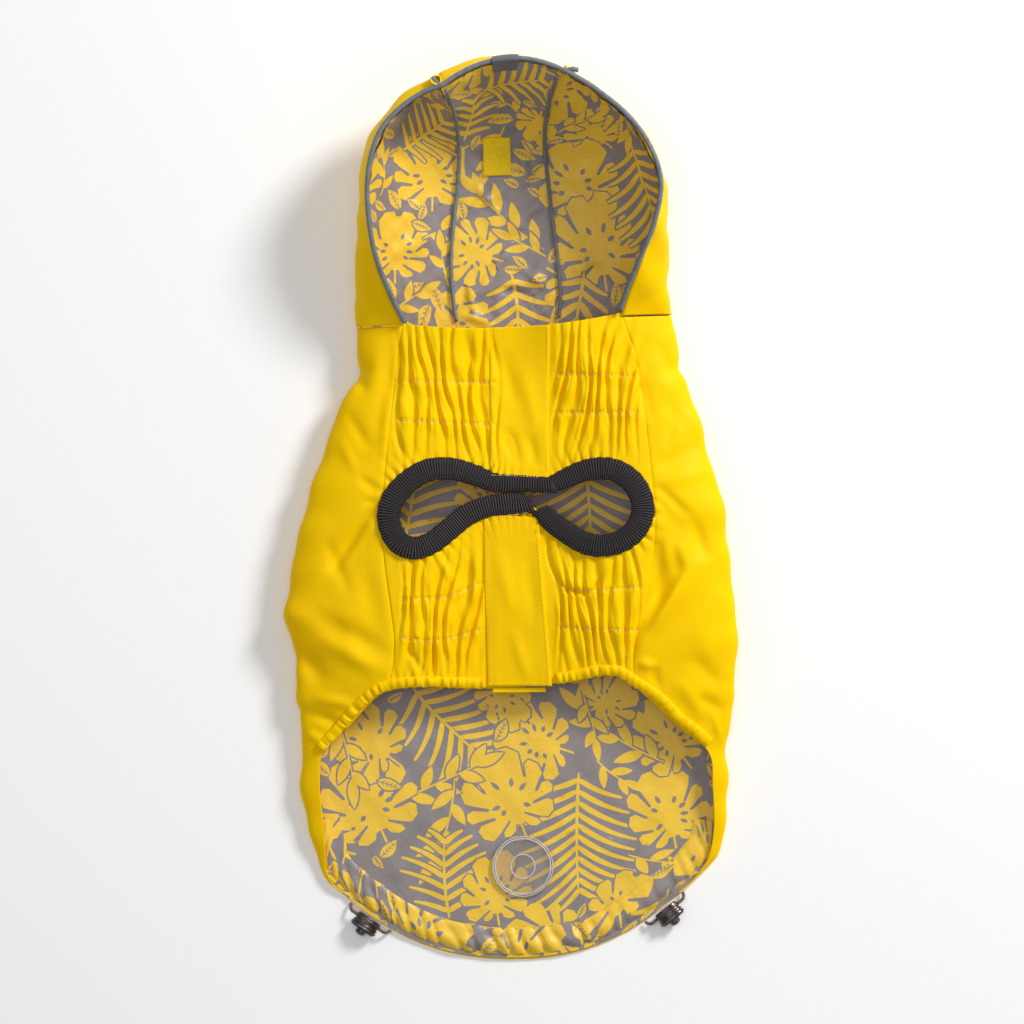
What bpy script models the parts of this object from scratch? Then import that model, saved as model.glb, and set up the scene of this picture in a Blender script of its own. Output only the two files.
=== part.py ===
# Hooded dog raincoat laid flat on its back: belly side up, hood towards +Y, tail towards -Y.
# The coat lies on Z = 0. Table and constant sizes are in millimetres, and MM turns them into metres.

import math
from collections import namedtuple

import bmesh
import bpy
from mathutils import Matrix, Vector

MM = 0.001

# Walls and gaps
CLOTH = 1.0  # wall of every cut piece
GAP = 0.3  # between neighbouring pieces
LINING_IN = CLOTH + GAP  # depth of the lining's outer face under the shell's outer face
INSIDE = LINING_IN + CLOTH  # depth of the lining's inner face

# Hood
HOOD_FLOOR = 0.7  # the hood's shell is this far up, because it lies on its outer seam piping
RIM_PIPING = 1.5  # radius of the piping round the face opening
RIM_BEYOND = RIM_PIPING + 0.7  # from the end of the hood's wall to the middle of its piping
INNER_PIPING = 1.0
OUTER_PIPING = 0.8
PIPING_OFF_FLOOR = 0.1

# Body trims
TRIM_WALL = 2.0  # ribbed leg trim
LAID_ON = 0.4  # lift of what lies on the front's curved panels
PLACKET_LIFT = 1.2  # of the plackets over the gathered fronts
CENTRE_OVERLAP = 4.5  # where the two fronts meet under the placket
PLEAT = 0.9  # height of the upright pleats that the fronts' elastic makes
HEM_CASING = 6.6
CASING_ENDS = {"left": (0, 4.95), "right": (6.05, 12)}  # along the hem's points, clear of the placket
SEAM_ENDS = -70.0  # below this the shell's front edge swings out to the side of the hem
CHANNEL_EDGE, CHANNEL = 3.2, 19.0  # from the tail's edge to the two edges of the drawcord channel's facing
TAIL_STARTS = -186.0  # where the tail's edge begins on each side
HEM_POWER = 2.3  # how square the tail's round end is

# Facets of the shell, and how much of it the lining leaves bare
BODY_ROWS, ARM_COLUMNS, FLOOR_COLUMNS = 25, 9, 5
UNLINED = 5  # columns at each front edge
HEM_SHORT = 0.2  # of the last row, at the tail
FRONT_POINTS, PLACKET_POINTS = (16, 7), (4, 8)  # across and down each panel
CHANNEL_POINTS = 41  # along the channel's facing

# Badge and cord locks
BADGE_X, BADGE_Y, BADGE_RADIUS, BADGE_WALL = 6.5, -214.0, 19.0, 0.8
LOCK_X = {"left": -84.5, "right": 91.0}
LOCK_OFF_HEM = 0.6
LOCK_HEIGHT = 4.7  # of the lock's axis above the surface
CORD_RADIUS, CORD_HOLE, CORD_DEPTH = 1.0, 1.35, 2.8
CORD_STRAIGHT, CORD_TURN, CORD_DROP = 10.8, 3.4, 2.6  # of each half of the loop that holds a lock
PLUNGER_RADIUS, BORE_RADIUS, BORE_FLOOR, BORE_LENGTH = 3.2, 3.5, 5.0, 6.0
THROUGH = 30.0  # length of a cutter that goes right through a lock
OVAL_POWER = 0.75  # how square a lock's outline is

# Body sections from the neck seam to the tail: y on the centre line, tilt of the section across the
# coat, bow of its ends towards the hood, and on each side its reach, the fold where it leaves the
# surface, and its front edge. loft is half the height of the side, and sag the dip of the front.
Section = namedtuple(
    "Section", "y tilt bow reach_l reach_r fold_l fold_r edge_l edge_r loft sag"
)
BODY = [
    Section(112.0, 4, 0, 93.0, 95.5, 33, 28, 65, 65.5, 15.0, 5),
    Section(95.0, 3, 0, 92.5, 98.5, 42, 40, 68, 72, 14.5, 6),
    Section(78.0, 2, 0, 95.5, 103, 52, 52, 70, 76, 14.5, 7),
    Section(58.0, 1, 0, 104.5, 111, 60, 62, 72, 79, 15.0, 8),
    Section(30.0, 0, 0, 113.5, 118, 66, 70, 75, 82, 15.5, 8),
    Section(0.0, 0, 0, 124.0, 126.5, 70, 76, 77, 85, 16.0, 8),
    Section(-30.0, 0, 0, 131.0, 130, 70, 77, 76, 84, 15.5, 8),
    Section(-60.0, 0, 0, 134.5, 134, 69, 75, 72, 79, 15.0, 8),
    Section(-82.0, 0, 0, 131.5, 134.4, 66, 69, 70, 73, 14.0, 8),
    Section(-104.0, 0, 0, 129.0, 133.3, 67, 67, 74, 74, 12.5, 7),
    Section(-116.0, 0, 0, 129.0, 132, 76, 75, 86, 86, 11.0, 5),
    Section(-130.0, 0, 0, 127.5, 130.5, 89, 91, 99, 101, 9.5, 3),
    Section(-145.0, 0, 0, 125.0, 128.5, 102, 106, 114, 118.5, 8.0, 0),
    Section(-165.0, 0, 0, 127.0, 129.6, 106, 112, 116, 121, 7.0, 0),
    Section(-190.0, 0, 2, 121.5, 127.8, 104, 110, 114, 122, 5.5, 0),
    Section(-215.0, 0, 10, 118.0, 123.5, 103, 107, 113, 119.5, 4.0, 0),
    Section(-238.0, 0, 24, 115.5, 117, 101, 102, 112.5, 114.5, 3.0, 0),
    Section(-256.0, 0, 33, 110.0, 109.5, 98, 98, 108.5, 108.3, 2.2, 0),
    Section(-269.7, 0, 40, 102.5, 101, 95, 94, 102.5, 101, 1.5, 0),
]
NECK, TAIL = BODY[0].y, BODY[-1].y

# Largest folds of the body's upper side: from one end to the other, half width, and height of the
# ridge, or depth of the trough where it is below nought.
Fold = namedtuple("Fold", "x0 y0 x1 y1 width height")
FOLDS = [
    Fold(118, -26, 82, -72, 8, 2.6),
    Fold(104, -24, 76, -66, 6, -2.4),
    Fold(-82, -10, -110, -38, 7, -2.0),
    Fold(-128, -84, -110, -110, 8, -2.6),
    Fold(86, 2, 108, -16, 7, -2.0),
    Fold(-96, 88, -84, 60, 7, -1.8),
]

# Each side of the hood, from the neck seam (step 0) to the crown: the seam to the centre panel, the
# rim of the face opening, and how far the side bulges out past its rim.
HoodRow = namedtuple("HoodRow", "step seam_x seam_y seam_z rim_x rim_y rim_z bulge")
HOOD_LEFT = [
    HoodRow(0, -33.0, 111.0, 0.7, -65.0, 109.7, 28.4, 28.0),
    HoodRow(1, -35.5, 128.0, 0.7, -74.0, 128.0, 35.0, 20.5),
    HoodRow(2, -36.5, 150.0, 0.7, -82.0, 150.0, 43.0, 11.0),
    HoodRow(3, -35.0, 172.0, 0.7, -85.5, 174.0, 49.0, 5.5),
    HoodRow(4, -32.5, 195.0, 0.7, -85.0, 199.0, 53.0, 2.5),
    HoodRow(5, -32.0, 213.0, 4.0, -79.0, 221.0, 54.0, 1.5),
    HoodRow(6, -33.5, 228.0, 16.0, -68.0, 235.5, 54.0, 1.2),
    HoodRow(7, -36.5, 240.5, 34.0, -54.0, 246.0, 54.0, 1.0),
    HoodRow(8, -39.5, 247.5, 49.0, -45.0, 250.2, 54.5, 0.8),
    HoodRow(9, -41.0, 251.0, 55.0, -43.0, 252.0, 55.5, 0.5),
]
HOOD_RIGHT = [
    HoodRow(0, 28.0, 113.4, 0.7, 65.5, 114.9, 28.4, 30.0),
    HoodRow(1, 29.0, 130.0, 0.7, 70.5, 131.5, 36.0, 22.0),
    HoodRow(2, 27.0, 152.0, 0.7, 78.5, 151.5, 45.0, 15.0),
    HoodRow(3, 24.5, 172.0, 0.7, 85.0, 170.0, 52.0, 7.5),
    HoodRow(4, 21.5, 197.0, 0.7, 88.0, 193.0, 56.0, 2.5),
    HoodRow(5, 20.0, 214.0, 4.0, 82.0, 213.0, 57.0, 1.5),
    HoodRow(6, 20.5, 230.0, 16.0, 69.5, 231.5, 57.0, 1.2),
    HoodRow(7, 23.0, 244.5, 34.0, 51.0, 247.5, 56.5, 1.0),
    HoodRow(8, 26.5, 255.0, 49.0, 34.0, 258.5, 56.0, 0.8),
    HoodRow(9, 28.5, 260.0, 55.0, 31.0, 260.5, 56.0, 0.5),
]
SIDE_STEPS, CROWN_STEPS = 8.0, 9.0
CrownRow = namedtuple("CrownRow", "step bow")  # how far the centre panel bows to the crown
CROWN = [CrownRow(0, 0), CrownRow(4, 0), CrownRow(6, 6), CrownRow(8, 9.5), CrownRow(9, 10.4)]

# Middle lines of the ribbed leg trims and the hem of the front, in plan, with their widths
Line = namedtuple("Line", "step x y width")
TRIM_LEFT = [
    (21, 15.2, 9.2), (5, 15.8, 10.2), (-10, 16.2, 11.4), (-22, 20.5, 12.6), (-36, 24.3, 13.2),
    (-50, 23.4, 13.6), (-62, 16.5, 13.8), (-71, 6, 13.8), (-73.5, -6, 13.8), (-68.5, -18.5, 13.8),
    (-59, -23, 13.8), (-48, -20, 13.4), (-37, -11.5, 13.2), (-27, -3.5, 13), (-16, 1.2, 12.8),
    (-4, 3.3, 13.2), (4, 3.6, 13.0), (11, 3.9, 12.2),
]
TRIM_RIGHT = [
    (23, 14.9, 9.4), (31, 18.2, 11.5), (42, 22.8, 12.8), (53, 24.6, 13.4), (63, 22.6, 13.6),
    (72, 16, 13.8), (77.5, 5, 13.8), (76.5, -7, 13.8), (69, -16.5, 13.6), (57, -21.3, 13.4),
    (45, -20.5, 13.4), (34.5, -15, 13.2), (25.5, -8.7, 13), (19.5, -3.2, 11.8), (16, 0.4, 10),
]
HEM = [
    (-113, -144.5), (-104, -135), (-90, -119), (-76, -108.5), (-55, -105.5), (-15, -106.5),
    (25, -104), (58, -98.5), (72, -105), (88, -116), (98, -126.5), (108, -134), (116, -141.5),
]

# Plackets over the front's middle, in plan: each side's x at the top and the bottom, and each end's y
# at the left and the right
Placket = namedtuple("Placket", "name left right top bottom")
PLACKETS = [
    Placket("placket_upper", (-13, -13), (22.5, 22.5), (108.3, 109.9), (24.2, 22.4)),
    Placket("placket_lower", (-17, -14.5), (16, 24), (-6.6, -9.6), (-105.5, -105.5)),
    Placket("placket_underlap", (-11.5, -11.5), (20, 20), (-107.2, -107.2), (-112.6, -112.6)),
]

# Where the fronts' raw edges lie under the leg trims, as x and y in plan
CHEST_CUT = [
    (-78, 2), (-70, 8), (-62, 16.5), (-50, 23), (-36, 24), (-22, 20.5), (-10, 16.5), (5, 15.8),
    (22, 15.2), (31, 18.2), (42, 22.6), (53, 24.4), (63, 22.5), (72, 16), (80, 6), (86, 2),
]
BELLY_CUT = [
    (-78, -6), (-72, -14), (-66, -20), (-58, -22.6), (-48, -20), (-37, -11.5), (-27, -3.5), (-16, 1),
    (-4, 3.2), (5, 3.4), (14, 0.5), (25, -8.7), (34.5, -15), (45, -20.3), (57, -21), (68, -17), (78, -8),
    (86, -4),
]


Cut = namedtuple("Cut", "x y")

# --- reading the tables ---------------------------------------------------------------------------


def smooth(rows, at):
    """The row of a table at any value of its first column, on a smooth curve through its rows."""
    falling = rows[0][0] > rows[-1][0]
    i = 0
    while i < len(rows) - 2 and (at < rows[i + 1][0] if falling else at > rows[i + 1][0]):
        i += 1
    before, a, b, after = (rows[min(max(k, 0), len(rows) - 1)] for k in range(i - 1, i + 3))
    span = b[0] - a[0]
    t = min(max((at - a[0]) / span, 0), 1)
    values = []
    for k in range(len(a)):
        start = (b[k] - before[k]) / (b[0] - before[0]) * span
        end = (after[k] - a[k]) / (after[0] - a[0]) * span
        values.append(
            a[k] * (2 * t**3 - 3 * t**2 + 1)
            + start * (t**3 - 2 * t**2 + t)
            + b[k] * (3 * t**2 - 2 * t**3)
            + end * (t**3 - t**2)
        )
    return type(rows[0])(*values)


def stepped(rows):
    """A list of plan points with widths, given a step column to read it by."""
    return [Line(step, row[0], row[1], row[2] if len(row) > 2 else 0) for step, row in enumerate(rows)]


def spread(first, last, count):
    """Evenly spaced values, both ends included."""
    return [first + (last - first) * i / (count - 1) for i in range(count)]


# --- the form of the body -------------------------------------------------------------------------


def side_of(section, side):
    """Reach, fold and front edge of a section on its left (-1) or right (1)."""
    if side < 0:
        return section.reach_l, section.fold_l, section.edge_l
    return section.reach_r, section.fold_r, section.edge_r


def section_y(section, x):
    reach = side_of(section, x)[0]
    return section.y + section.tilt * x / 100 + section.bow * min(abs(x) / reach, 1) ** HEM_POWER


def section_through(x, y):
    """The section that passes over a point in plan."""
    low, high = TAIL, NECK
    for _ in range(24):
        middle = (low + high) / 2
        if section_y(smooth(BODY, middle), x) < y:
            low = middle
        else:
            high = middle
    return smooth(BODY, (low + high) / 2)


def folds(x, y):
    """Height of the largest folds at a point of the upper side."""
    total = 0
    for fold in FOLDS:
        along = Vector((fold.x1 - fold.x0, fold.y1 - fold.y0))
        to_point = Vector((x - fold.x0, y - fold.y0))
        share = to_point.dot(along) / along.length_squared
        if 0 < share < 1:
            off = (to_point - along * share).length
            total += fold.height * math.sin(math.pi * share) * math.exp(-((off / fold.width) ** 2))
    return total


def top_height(x, y):
    """Height of the upper side's outer face."""
    section = section_through(x, y)
    reach, fold, _ = side_of(section, x)
    past = (abs(x) - fold) / (reach - fold)
    if past <= 0:
        return 2 * section.loft - section.sag * (1 - (x / fold) ** 2) ** 2 + folds(x, y)
    lean = math.sqrt(max(0, 1 - past**2))
    return section.loft * (1 + lean) + folds(x, y) * lean


def floor_height(x, y):
    """Height of the under side's outer face."""
    section = section_through(x, y)
    reach, fold, _ = side_of(section, x)
    past = min(max((abs(x) - fold) / (reach - fold), 0), 1)
    return section.loft * (1 - math.sqrt(1 - past**2))


def side_point(section, side, angle):
    """A point of a rounded side: angle 0 is the fold on the floor, and half a turn is the top."""
    reach, fold, _ = side_of(section, side)
    x = side * (fold + (reach - fold) * math.sin(angle))
    y = section_y(section, x)
    z = section.loft * (1 - math.cos(angle)) + folds(x, y) * max(0, -math.cos(angle))
    return Vector((x, y, z))


def edge_angle(section, side):
    """Where the front edge cuts the rounded side off."""
    reach, fold, edge = side_of(section, side)
    return math.pi - math.asin(min(1, (edge + GAP / 2 - fold) / (reach - fold)))


def body_rows(count):
    return [smooth(BODY, y) for y in spread(NECK, TAIL, count)]


def shell_grid(rows, arm, floor):
    """Points across each section, from the left front edge under the coat to the right one."""
    grid = []
    for section in rows:
        angles = [edge_angle(section, side) for side in (-1, 1)]
        points = [side_point(section, -1, angle) for angle in spread(angles[0], 0, arm)]
        for x in spread(-section.fold_l, section.fold_r, floor + 2)[1:-1]:
            points.append(Vector((x, section_y(section, x), 0)))
        points += [side_point(section, 1, angle) for angle in spread(0, angles[1], arm)]
        grid.append(points)
    return grid


# --- the form of the hood -------------------------------------------------------------------------


def hood_arc(rows, step):
    """Where a side of the hood starts, which way it goes, its two radii and its last angle."""
    row = smooth(rows, step)
    seam = Vector((row.seam_x, row.seam_y, row.seam_z))
    across = Vector((row.rim_x - row.seam_x, row.rim_y - row.seam_y, 0))
    wide = across.length + row.bulge
    last = math.pi - math.asin(across.length / wide)
    return seam, across.normalized(), wide, (row.rim_z - row.seam_z) / (1 - math.cos(last)), last


def hood_side(rows, step, angle):
    seam, across, wide, high, _ = hood_arc(rows, step)
    return seam + across * wide * math.sin(angle) + Vector((0, 0, high * (1 - math.cos(angle))))


def hood_side_grid(rows, steps, count, seam_gap):
    """Points from the centre seam to the rim, for each step from the neck to the crown."""
    grid = []
    for step in steps:
        _, _, wide, _, last = hood_arc(rows, step)
        grid.append([hood_side(rows, step, a) for a in spread(math.asin(seam_gap / wide), last, count)])
    return grid


def seam_point(rows, step):
    row = smooth(rows, step)
    return Vector((row.seam_x, row.seam_y, row.seam_z))


def hood_centre(share, step):
    """A point of the centre panel: share 0 is its left seam and 1 its right one."""
    left, right = seam_point(HOOD_LEFT, step), seam_point(HOOD_RIGHT, step)
    bow = smooth(CROWN, step).bow * (1 - (2 * share - 1) ** 2)
    return left.lerp(right, share) + Vector((0, bow, 0))


def centre_steps():
    return spread(0.02, CROWN_STEPS, 16)


def hood_centre_grid(steps, count, seam_gap):
    grid = []
    for step in steps:
        width = (seam_point(HOOD_LEFT, step) - seam_point(HOOD_RIGHT, step)).length
        margin = seam_gap / width
        grid.append([hood_centre(share, step) for share in spread(margin, 1 - margin, count)])
    return grid


# --- solids ---------------------------------------------------------------------------------------


def material(name, colour, roughness, metallic=0.0):
    made = bpy.data.materials.new(name)
    made.use_nodes = True
    shader = made.node_tree.nodes["Principled BSDF"]
    shader.inputs["Base Color"].default_value = (*colour, 1)
    shader.inputs["Roughness"].default_value = roughness
    shader.inputs["Metallic"].default_value = metallic
    return made


def moved_out(grid, distance, facing):
    """The grid moved along its own normals. facing is 1 or -1, to point them out of the coat."""
    moved = []
    for r, row in enumerate(grid):
        above, below = grid[max(r - 1, 0)], grid[min(r + 1, len(grid) - 1)]
        line = []
        for c, point in enumerate(row):
            across = row[min(c + 1, len(row) - 1)] - row[max(c - 1, 0)]
            normal = across.cross(below[c] - above[c]).normalized() * facing
            line.append(point + normal * distance)
        moved.append(line)
    return moved


def upwards(grid):
    """The facing that turns a grid's normals up."""
    r, c = len(grid) // 2, len(grid[0]) // 2
    point = grid[r][c]
    return 1 if (grid[r][c - 1] - point).cross(grid[r - 1][c] - point).z > 0 else -1


def solid(name, vertices, faces, finish, smoothed=True):
    """An object made of one closed mesh with its faces pointing out."""
    mesh = bpy.data.meshes.new(name)
    mesh.from_pydata([vertex * MM for vertex in vertices], [], faces)
    shaped = bmesh.new()
    shaped.from_mesh(mesh)
    bmesh.ops.recalc_face_normals(shaped, faces=shaped.faces)
    shaped.to_mesh(mesh)
    shaped.free()
    mesh.materials.append(finish)
    if smoothed:
        mesh.shade_smooth()
        mesh.set_sharp_from_angle(angle=math.radians(50))
    made = bpy.data.objects.new(name, mesh)
    bpy.context.scene.collection.objects.link(made)
    return made


def wall(name, grid, low, high, finish, facing):
    """A closed wall of cloth between two distances from a grid of points."""
    return between(name, moved_out(grid, high, facing), moved_out(grid, low, facing), finish)


def between(name, outer, inner, finish):
    """A closed wall of cloth between two grids of points."""
    rows, columns = len(outer), len(outer[0])
    half = rows * columns
    faces = []
    for r in range(rows - 1):
        for c in range(columns - 1):
            a, d = r * columns + c, (r + 1) * columns + c
            b, e = a + 1, d + 1
            faces.append((a, b, e, d))
            faces.append((half + a, half + d, half + e, half + b))
    edge = [(0, c) for c in range(columns)]
    edge += [(r, columns - 1) for r in range(1, rows)]
    edge += [(rows - 1, c) for c in range(columns - 2, -1, -1)]
    edge += [(r, 0) for r in range(rows - 2, 0, -1)]
    loop = [r * columns + c for r, c in edge]
    for a, b in zip(loop, loop[1:] + loop[:1]):
        faces.append((a, b, half + b, half + a))
    vertices = [point for line in outer + inner for point in line]
    return solid(name, vertices, faces, finish)


def tube(name, points, radius, finish, sides=1):
    """A round piping or cord along a line of points."""
    curve = bpy.data.curves.new(name, "CURVE")
    curve.dimensions = "3D"
    curve.bevel_depth = radius * MM
    curve.bevel_resolution = sides
    curve.use_fill_caps = True
    spline = curve.splines.new("POLY")
    spline.points.add(len(points) - 1)
    for control, point in zip(spline.points, points):
        control.co = (*(point * MM), 1)
    curve.materials.append(finish)
    made = bpy.data.objects.new(name, curve)
    bpy.context.scene.collection.objects.link(made)
    return made


def stack(name, rings, finish, smoothed=True):
    """A closed solid through rings of points that have the same count."""
    count = len(rings[0])
    vertices = [point for ring in rings for point in ring]
    faces = [tuple(range(count)), tuple(range(len(vertices) - count, len(vertices)))]
    for r in range(len(rings) - 1):
        for c in range(count):
            a, b = r * count + c, r * count + (c + 1) % count
            faces.append((a, b, b + count, a + count))
    return solid(name, vertices, faces, finish, smoothed)


# --- body pieces ----------------------------------------------------------------------------------


def build_body(yellow, print_cloth):
    grid = shell_grid(body_rows(BODY_ROWS), ARM_COLUMNS, FLOOR_COLUMNS)
    wall("back_shell", grid, -CLOTH, 0, yellow, 1)
    faces = []
    for depth in (LINING_IN, INSIDE):
        face = [row[UNLINED:-UNLINED] for row in moved_out(grid, -depth, 1)]
        face[-1] = [point.lerp(above, HEM_SHORT) for point, above in zip(face[-1], face[-2])]
        faces.append(face)
    between("back_lining", *faces, print_cloth)


def front_grid(x_first, x_last, y_first, y_last, columns, rows):
    """A grid of the front's outer face. Its sides and ends are given as functions in plan."""
    grid = []
    for v in spread(0, 1, rows):
        line = []
        for u in spread(0, 1, columns):
            y = 0.0
            for _ in range(4):
                x = x_first(y) * (1 - u) + x_last(y) * u
                y = y_first(x) * (1 - v) + y_last(x) * v
            line.append(Vector((x, y, top_height(x, y))))
        grid.append(line)
    return grid


def neckline(x):
    return 108.2 + 0.042 * x + 3.2 * (x / 65) ** 2


def front_edge(side):
    """The side edge of a front: along the shell's edge, then straight down to the hem's casing."""

    def edge(y):
        seam = side_of(section_through(side * 70, y), side)[2] - GAP / 2
        return side * (min(seam, 72) - GAP if y < SEAM_ENDS else seam)

    return edge


def gathered(grid, pleat):
    """The grid with the upright pleats that its elastic makes, deepest in the middle of the piece."""
    rows, columns = len(grid), len(grid[0])
    for r, row in enumerate(grid):
        for c, point in enumerate(row):
            rise = math.sin(math.pi * r / (rows - 1)) * math.sin(math.pi * c / (columns - 1)) ** 0.5
            point.z += pleat * rise * (1 if c % 2 else -1)
    return grid


def straight(start, end, x0=0.0, x1=1.0):
    """A straight line as a function: start at x0 and end at x1."""

    def value(at):
        return start + (end - start) * (at - x0) / (x1 - x0)

    return value


def through(points):
    """A smooth line through points in plan as a function: its y at any x."""
    rows = [Cut(*point) for point in points]

    def value(x):
        return smooth(rows, x).y

    return value


def build_fronts(yellow):
    panels = (("chest", neckline, through(CHEST_CUT)), ("belly", through(BELLY_CUT), through(HEM)))
    for side, name in ((-1, "left"), (1, "right")):
        middle = CENTRE_OVERLAP + side * GAP / 2
        sides = (front_edge(side), straight(middle, middle))
        if side > 0:
            sides = sides[::-1]
        for panel, top, bottom in panels:
            grid = gathered(front_grid(*sides, top, bottom, *FRONT_POINTS), PLEAT)
            wall(f"{panel}_{name}", grid, -CLOTH, 0, yellow, -1)


def build_plackets(yellow):
    for name, left, right, top, bottom in PLACKETS:
        sides = [straight(edge[0], edge[1], top[0], bottom[0]) for edge in (left, right)]
        ends = [straight(end[0], end[1], left[0], right[0]) for end in (top, bottom)]
        low = PLACKET_LIFT if name != "placket_underlap" else -CLOTH
        wall(name, front_grid(*sides, *ends, *PLACKET_POINTS), low, low + CLOTH, yellow, -1)


def band(rows, steps, near, far, height):
    """A strip beside a line in plan, from near to far across it as shares of its width."""
    grid = []
    for step in steps:
        row, ahead = smooth(rows, step), smooth(rows, min(step + 0.02, rows[-1].step))
        behind = smooth(rows, max(step - 0.02, 0))
        along = Vector((ahead.x - behind.x, ahead.y - behind.y)).normalized()
        line = []
        for share in spread(near, far, 3):
            x = row.x - along.y * row.width * share
            y = row.y + along.x * row.width * share
            line.append(Vector((x, y, height(x, y))))
        grid.append(line)
    return grid


def build_trims(ribbed, yellow):
    for name, rows in (("left", TRIM_LEFT), ("right", TRIM_RIGHT)):
        rows = stepped(rows)
        steps = spread(0, rows[-1].step, 2 * len(rows) - 1)
        grid = band(rows, steps, 0.5, -0.5, top_height)
        wall(f"leg_trim_{name}", grid, LAID_ON, LAID_ON + TRIM_WALL, ribbed, upwards(grid))
    rows = stepped([(x, y, HEM_CASING) for x, y in HEM])
    for name, (first, last) in CASING_ENDS.items():
        grid = band(rows, spread(first, last, 18), 0.94, -0.06, top_height)
        wall(f"hem_casing_{name}", grid, LAID_ON, LAID_ON + CLOTH, yellow, upwards(grid))


def tail_outline():
    """The tail's edge in plan, from the left side round the end to the right side."""
    ends = [smooth(BODY, y) for y in spread(TAIL_STARTS, TAIL, 9)]
    left = [(-row.reach_l, row.y + row.bow) for row in ends]
    last = ends[-1]
    end = [(x, section_y(last, x)) for x in spread(-last.reach_l, last.reach_r, 21)[1:-1]]
    right = [(row.reach_r, row.y + row.bow) for row in reversed(ends)]
    return left + end + right


def build_tail(print_cloth, clear):
    rows = stepped([(x, y, 1) for x, y in tail_outline()])
    steps = spread(0.2, rows[-1].step - 0.2, CHANNEL_POINTS)
    grid = band(rows, steps, CHANNEL_EDGE, CHANNEL, floor_height)
    wall("hem_facing", grid, INSIDE + GAP, INSIDE + GAP + CLOTH, print_cloth, upwards(grid))
    rings = []
    for z in (INSIDE + GAP, INSIDE + GAP + BADGE_WALL):
        turn = spread(0, 2 * math.pi, 37)[:-1]
        rings.append([
            Vector((BADGE_X + BADGE_RADIUS * math.cos(a), BADGE_Y + BADGE_RADIUS * math.sin(a), z))
            for a in turn
        ])
    stack("badge", rings, clear)


# --- hood pieces ----------------------------------------------------------------------------------


def build_hood(yellow, print_cloth):
    steps = spread(0.02, SIDE_STEPS, 14)
    piping_room = OUTER_PIPING + GAP
    for name, rows, facing in (("left", HOOD_LEFT, -1), ("right", HOOD_RIGHT, 1)):
        grid = hood_side_grid(rows, steps, 8, piping_room)
        wall(f"hood_shell_{name}", grid, -CLOTH, 0, yellow, -facing)
        grid = hood_side_grid(rows, steps, 8, GAP / 2)
        wall(f"hood_lining_{name}", grid, -INSIDE, -LINING_IN, print_cloth, -facing)
    steps = centre_steps()
    grid = hood_centre_grid(steps, 6, piping_room)
    wall("hood_shell_centre", grid, -CLOTH, 0, yellow, -1)
    grid = hood_centre_grid(steps, 6, GAP / 2)
    wall("hood_lining_centre", grid, -INSIDE, -LINING_IN, print_cloth, -1)


def rim_frame(point, before):
    """At the end of the hood's wall: the way on past the end, and the way in from its outer face."""
    tangent = (point - before).normalized()
    level = Vector((tangent.x, tangent.y, 0))
    return tangent, (Vector((0, 0, level.length)) - level.normalized() * tangent.z).normalized()


def rim_line():
    """The middle of the rim piping, from the left end of the neckline over the crown to the right."""

    def side(rows, steps):
        line = []
        for step in steps:
            seam, across, wide, high, last = hood_arc(rows, step)
            point = hood_side(rows, step, last)
            tangent = across * wide * math.cos(last) + Vector((0, 0, high * math.sin(last)))
            tangent.normalize()
            inward = Vector((0, 0, tangent.dot(across))) - across * tangent.z
            line.append(point + tangent * RIM_BEYOND + inward * INSIDE / 2)
        return line

    crown = []
    for share in spread(0.0, 1.0, 13):
        point = hood_centre(share, CROWN_STEPS)
        tangent, inward = rim_frame(point, hood_centre(share, CROWN_STEPS - 0.2))
        crown.append(point + tangent * RIM_BEYOND + inward * INSIDE / 2)
    left = side(HOOD_LEFT, spread(0.1, SIDE_STEPS, 17))
    right = side(HOOD_RIGHT, spread(SIDE_STEPS, 0.1, 17))
    return left + crown + right


def build_pipings(grey):
    tube("rim_piping", rim_line(), RIM_PIPING, grey)
    steps = spread(0.1, SIDE_STEPS - 0.4, 17)
    for name, rows, share in (("left", HOOD_LEFT, 0.0), ("right", HOOD_RIGHT, 1.0)):
        line = [[hood_centre(share + k * 0.04, step) for k in (-1, 0, 1)] for step in steps]
        inner = [row[1] for row in moved_out(line, -(INSIDE + GAP + INNER_PIPING), -1)]
        tube(f"seam_piping_{name}", inner, INNER_PIPING, grey)
        outer = [row[1] for row in moved_out(line, HOOD_FLOOR - OUTER_PIPING - PIPING_OFF_FLOOR, -1)]
        tube(f"outer_piping_{name}", outer, OUTER_PIPING, grey)


# --- label and patch ------------------------------------------------------------------------------


def build_hood_extras(yellow, grey):
    steps = centre_steps()[7:10]
    grid = [[hood_centre(share, step) for share in spread(0.28, 0.60, 3)] for step in steps]
    wall("hood_patch", grid, -(INSIDE + LAID_ON + 1.4), -(INSIDE + LAID_ON), yellow, -1)

    shares = spread(0.42, 0.64, 4)
    inner = [[hood_centre(share, step) for share in shares] for step in (8.15, 8.4, 8.65)]
    outer = [[hood_centre(share, step) for share in shares] for step in (8.5, 8.75)]
    over = []
    for turn in spread(1.9, -1.9, 7):
        line = []
        for share in shares:
            point = hood_centre(share, CROWN_STEPS)
            tangent, inward = rim_frame(point, hood_centre(share, CROWN_STEPS - 0.2))
            middle = point + tangent * RIM_BEYOND + inward * INSIDE / 2
            line.append(middle + (tangent * math.cos(turn) + inward * math.sin(turn)) * (RIM_PIPING + GAP))
        over.append(line)
    strip = moved_out(inner, INSIDE + LAID_ON, 1) + over + moved_out(outer, -GAP, 1)[::-1]
    wall("rim_label", strip, 0, CLOTH, grey, 1)


# --- cord locks -----------------------------------------------------------------------------------


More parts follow.
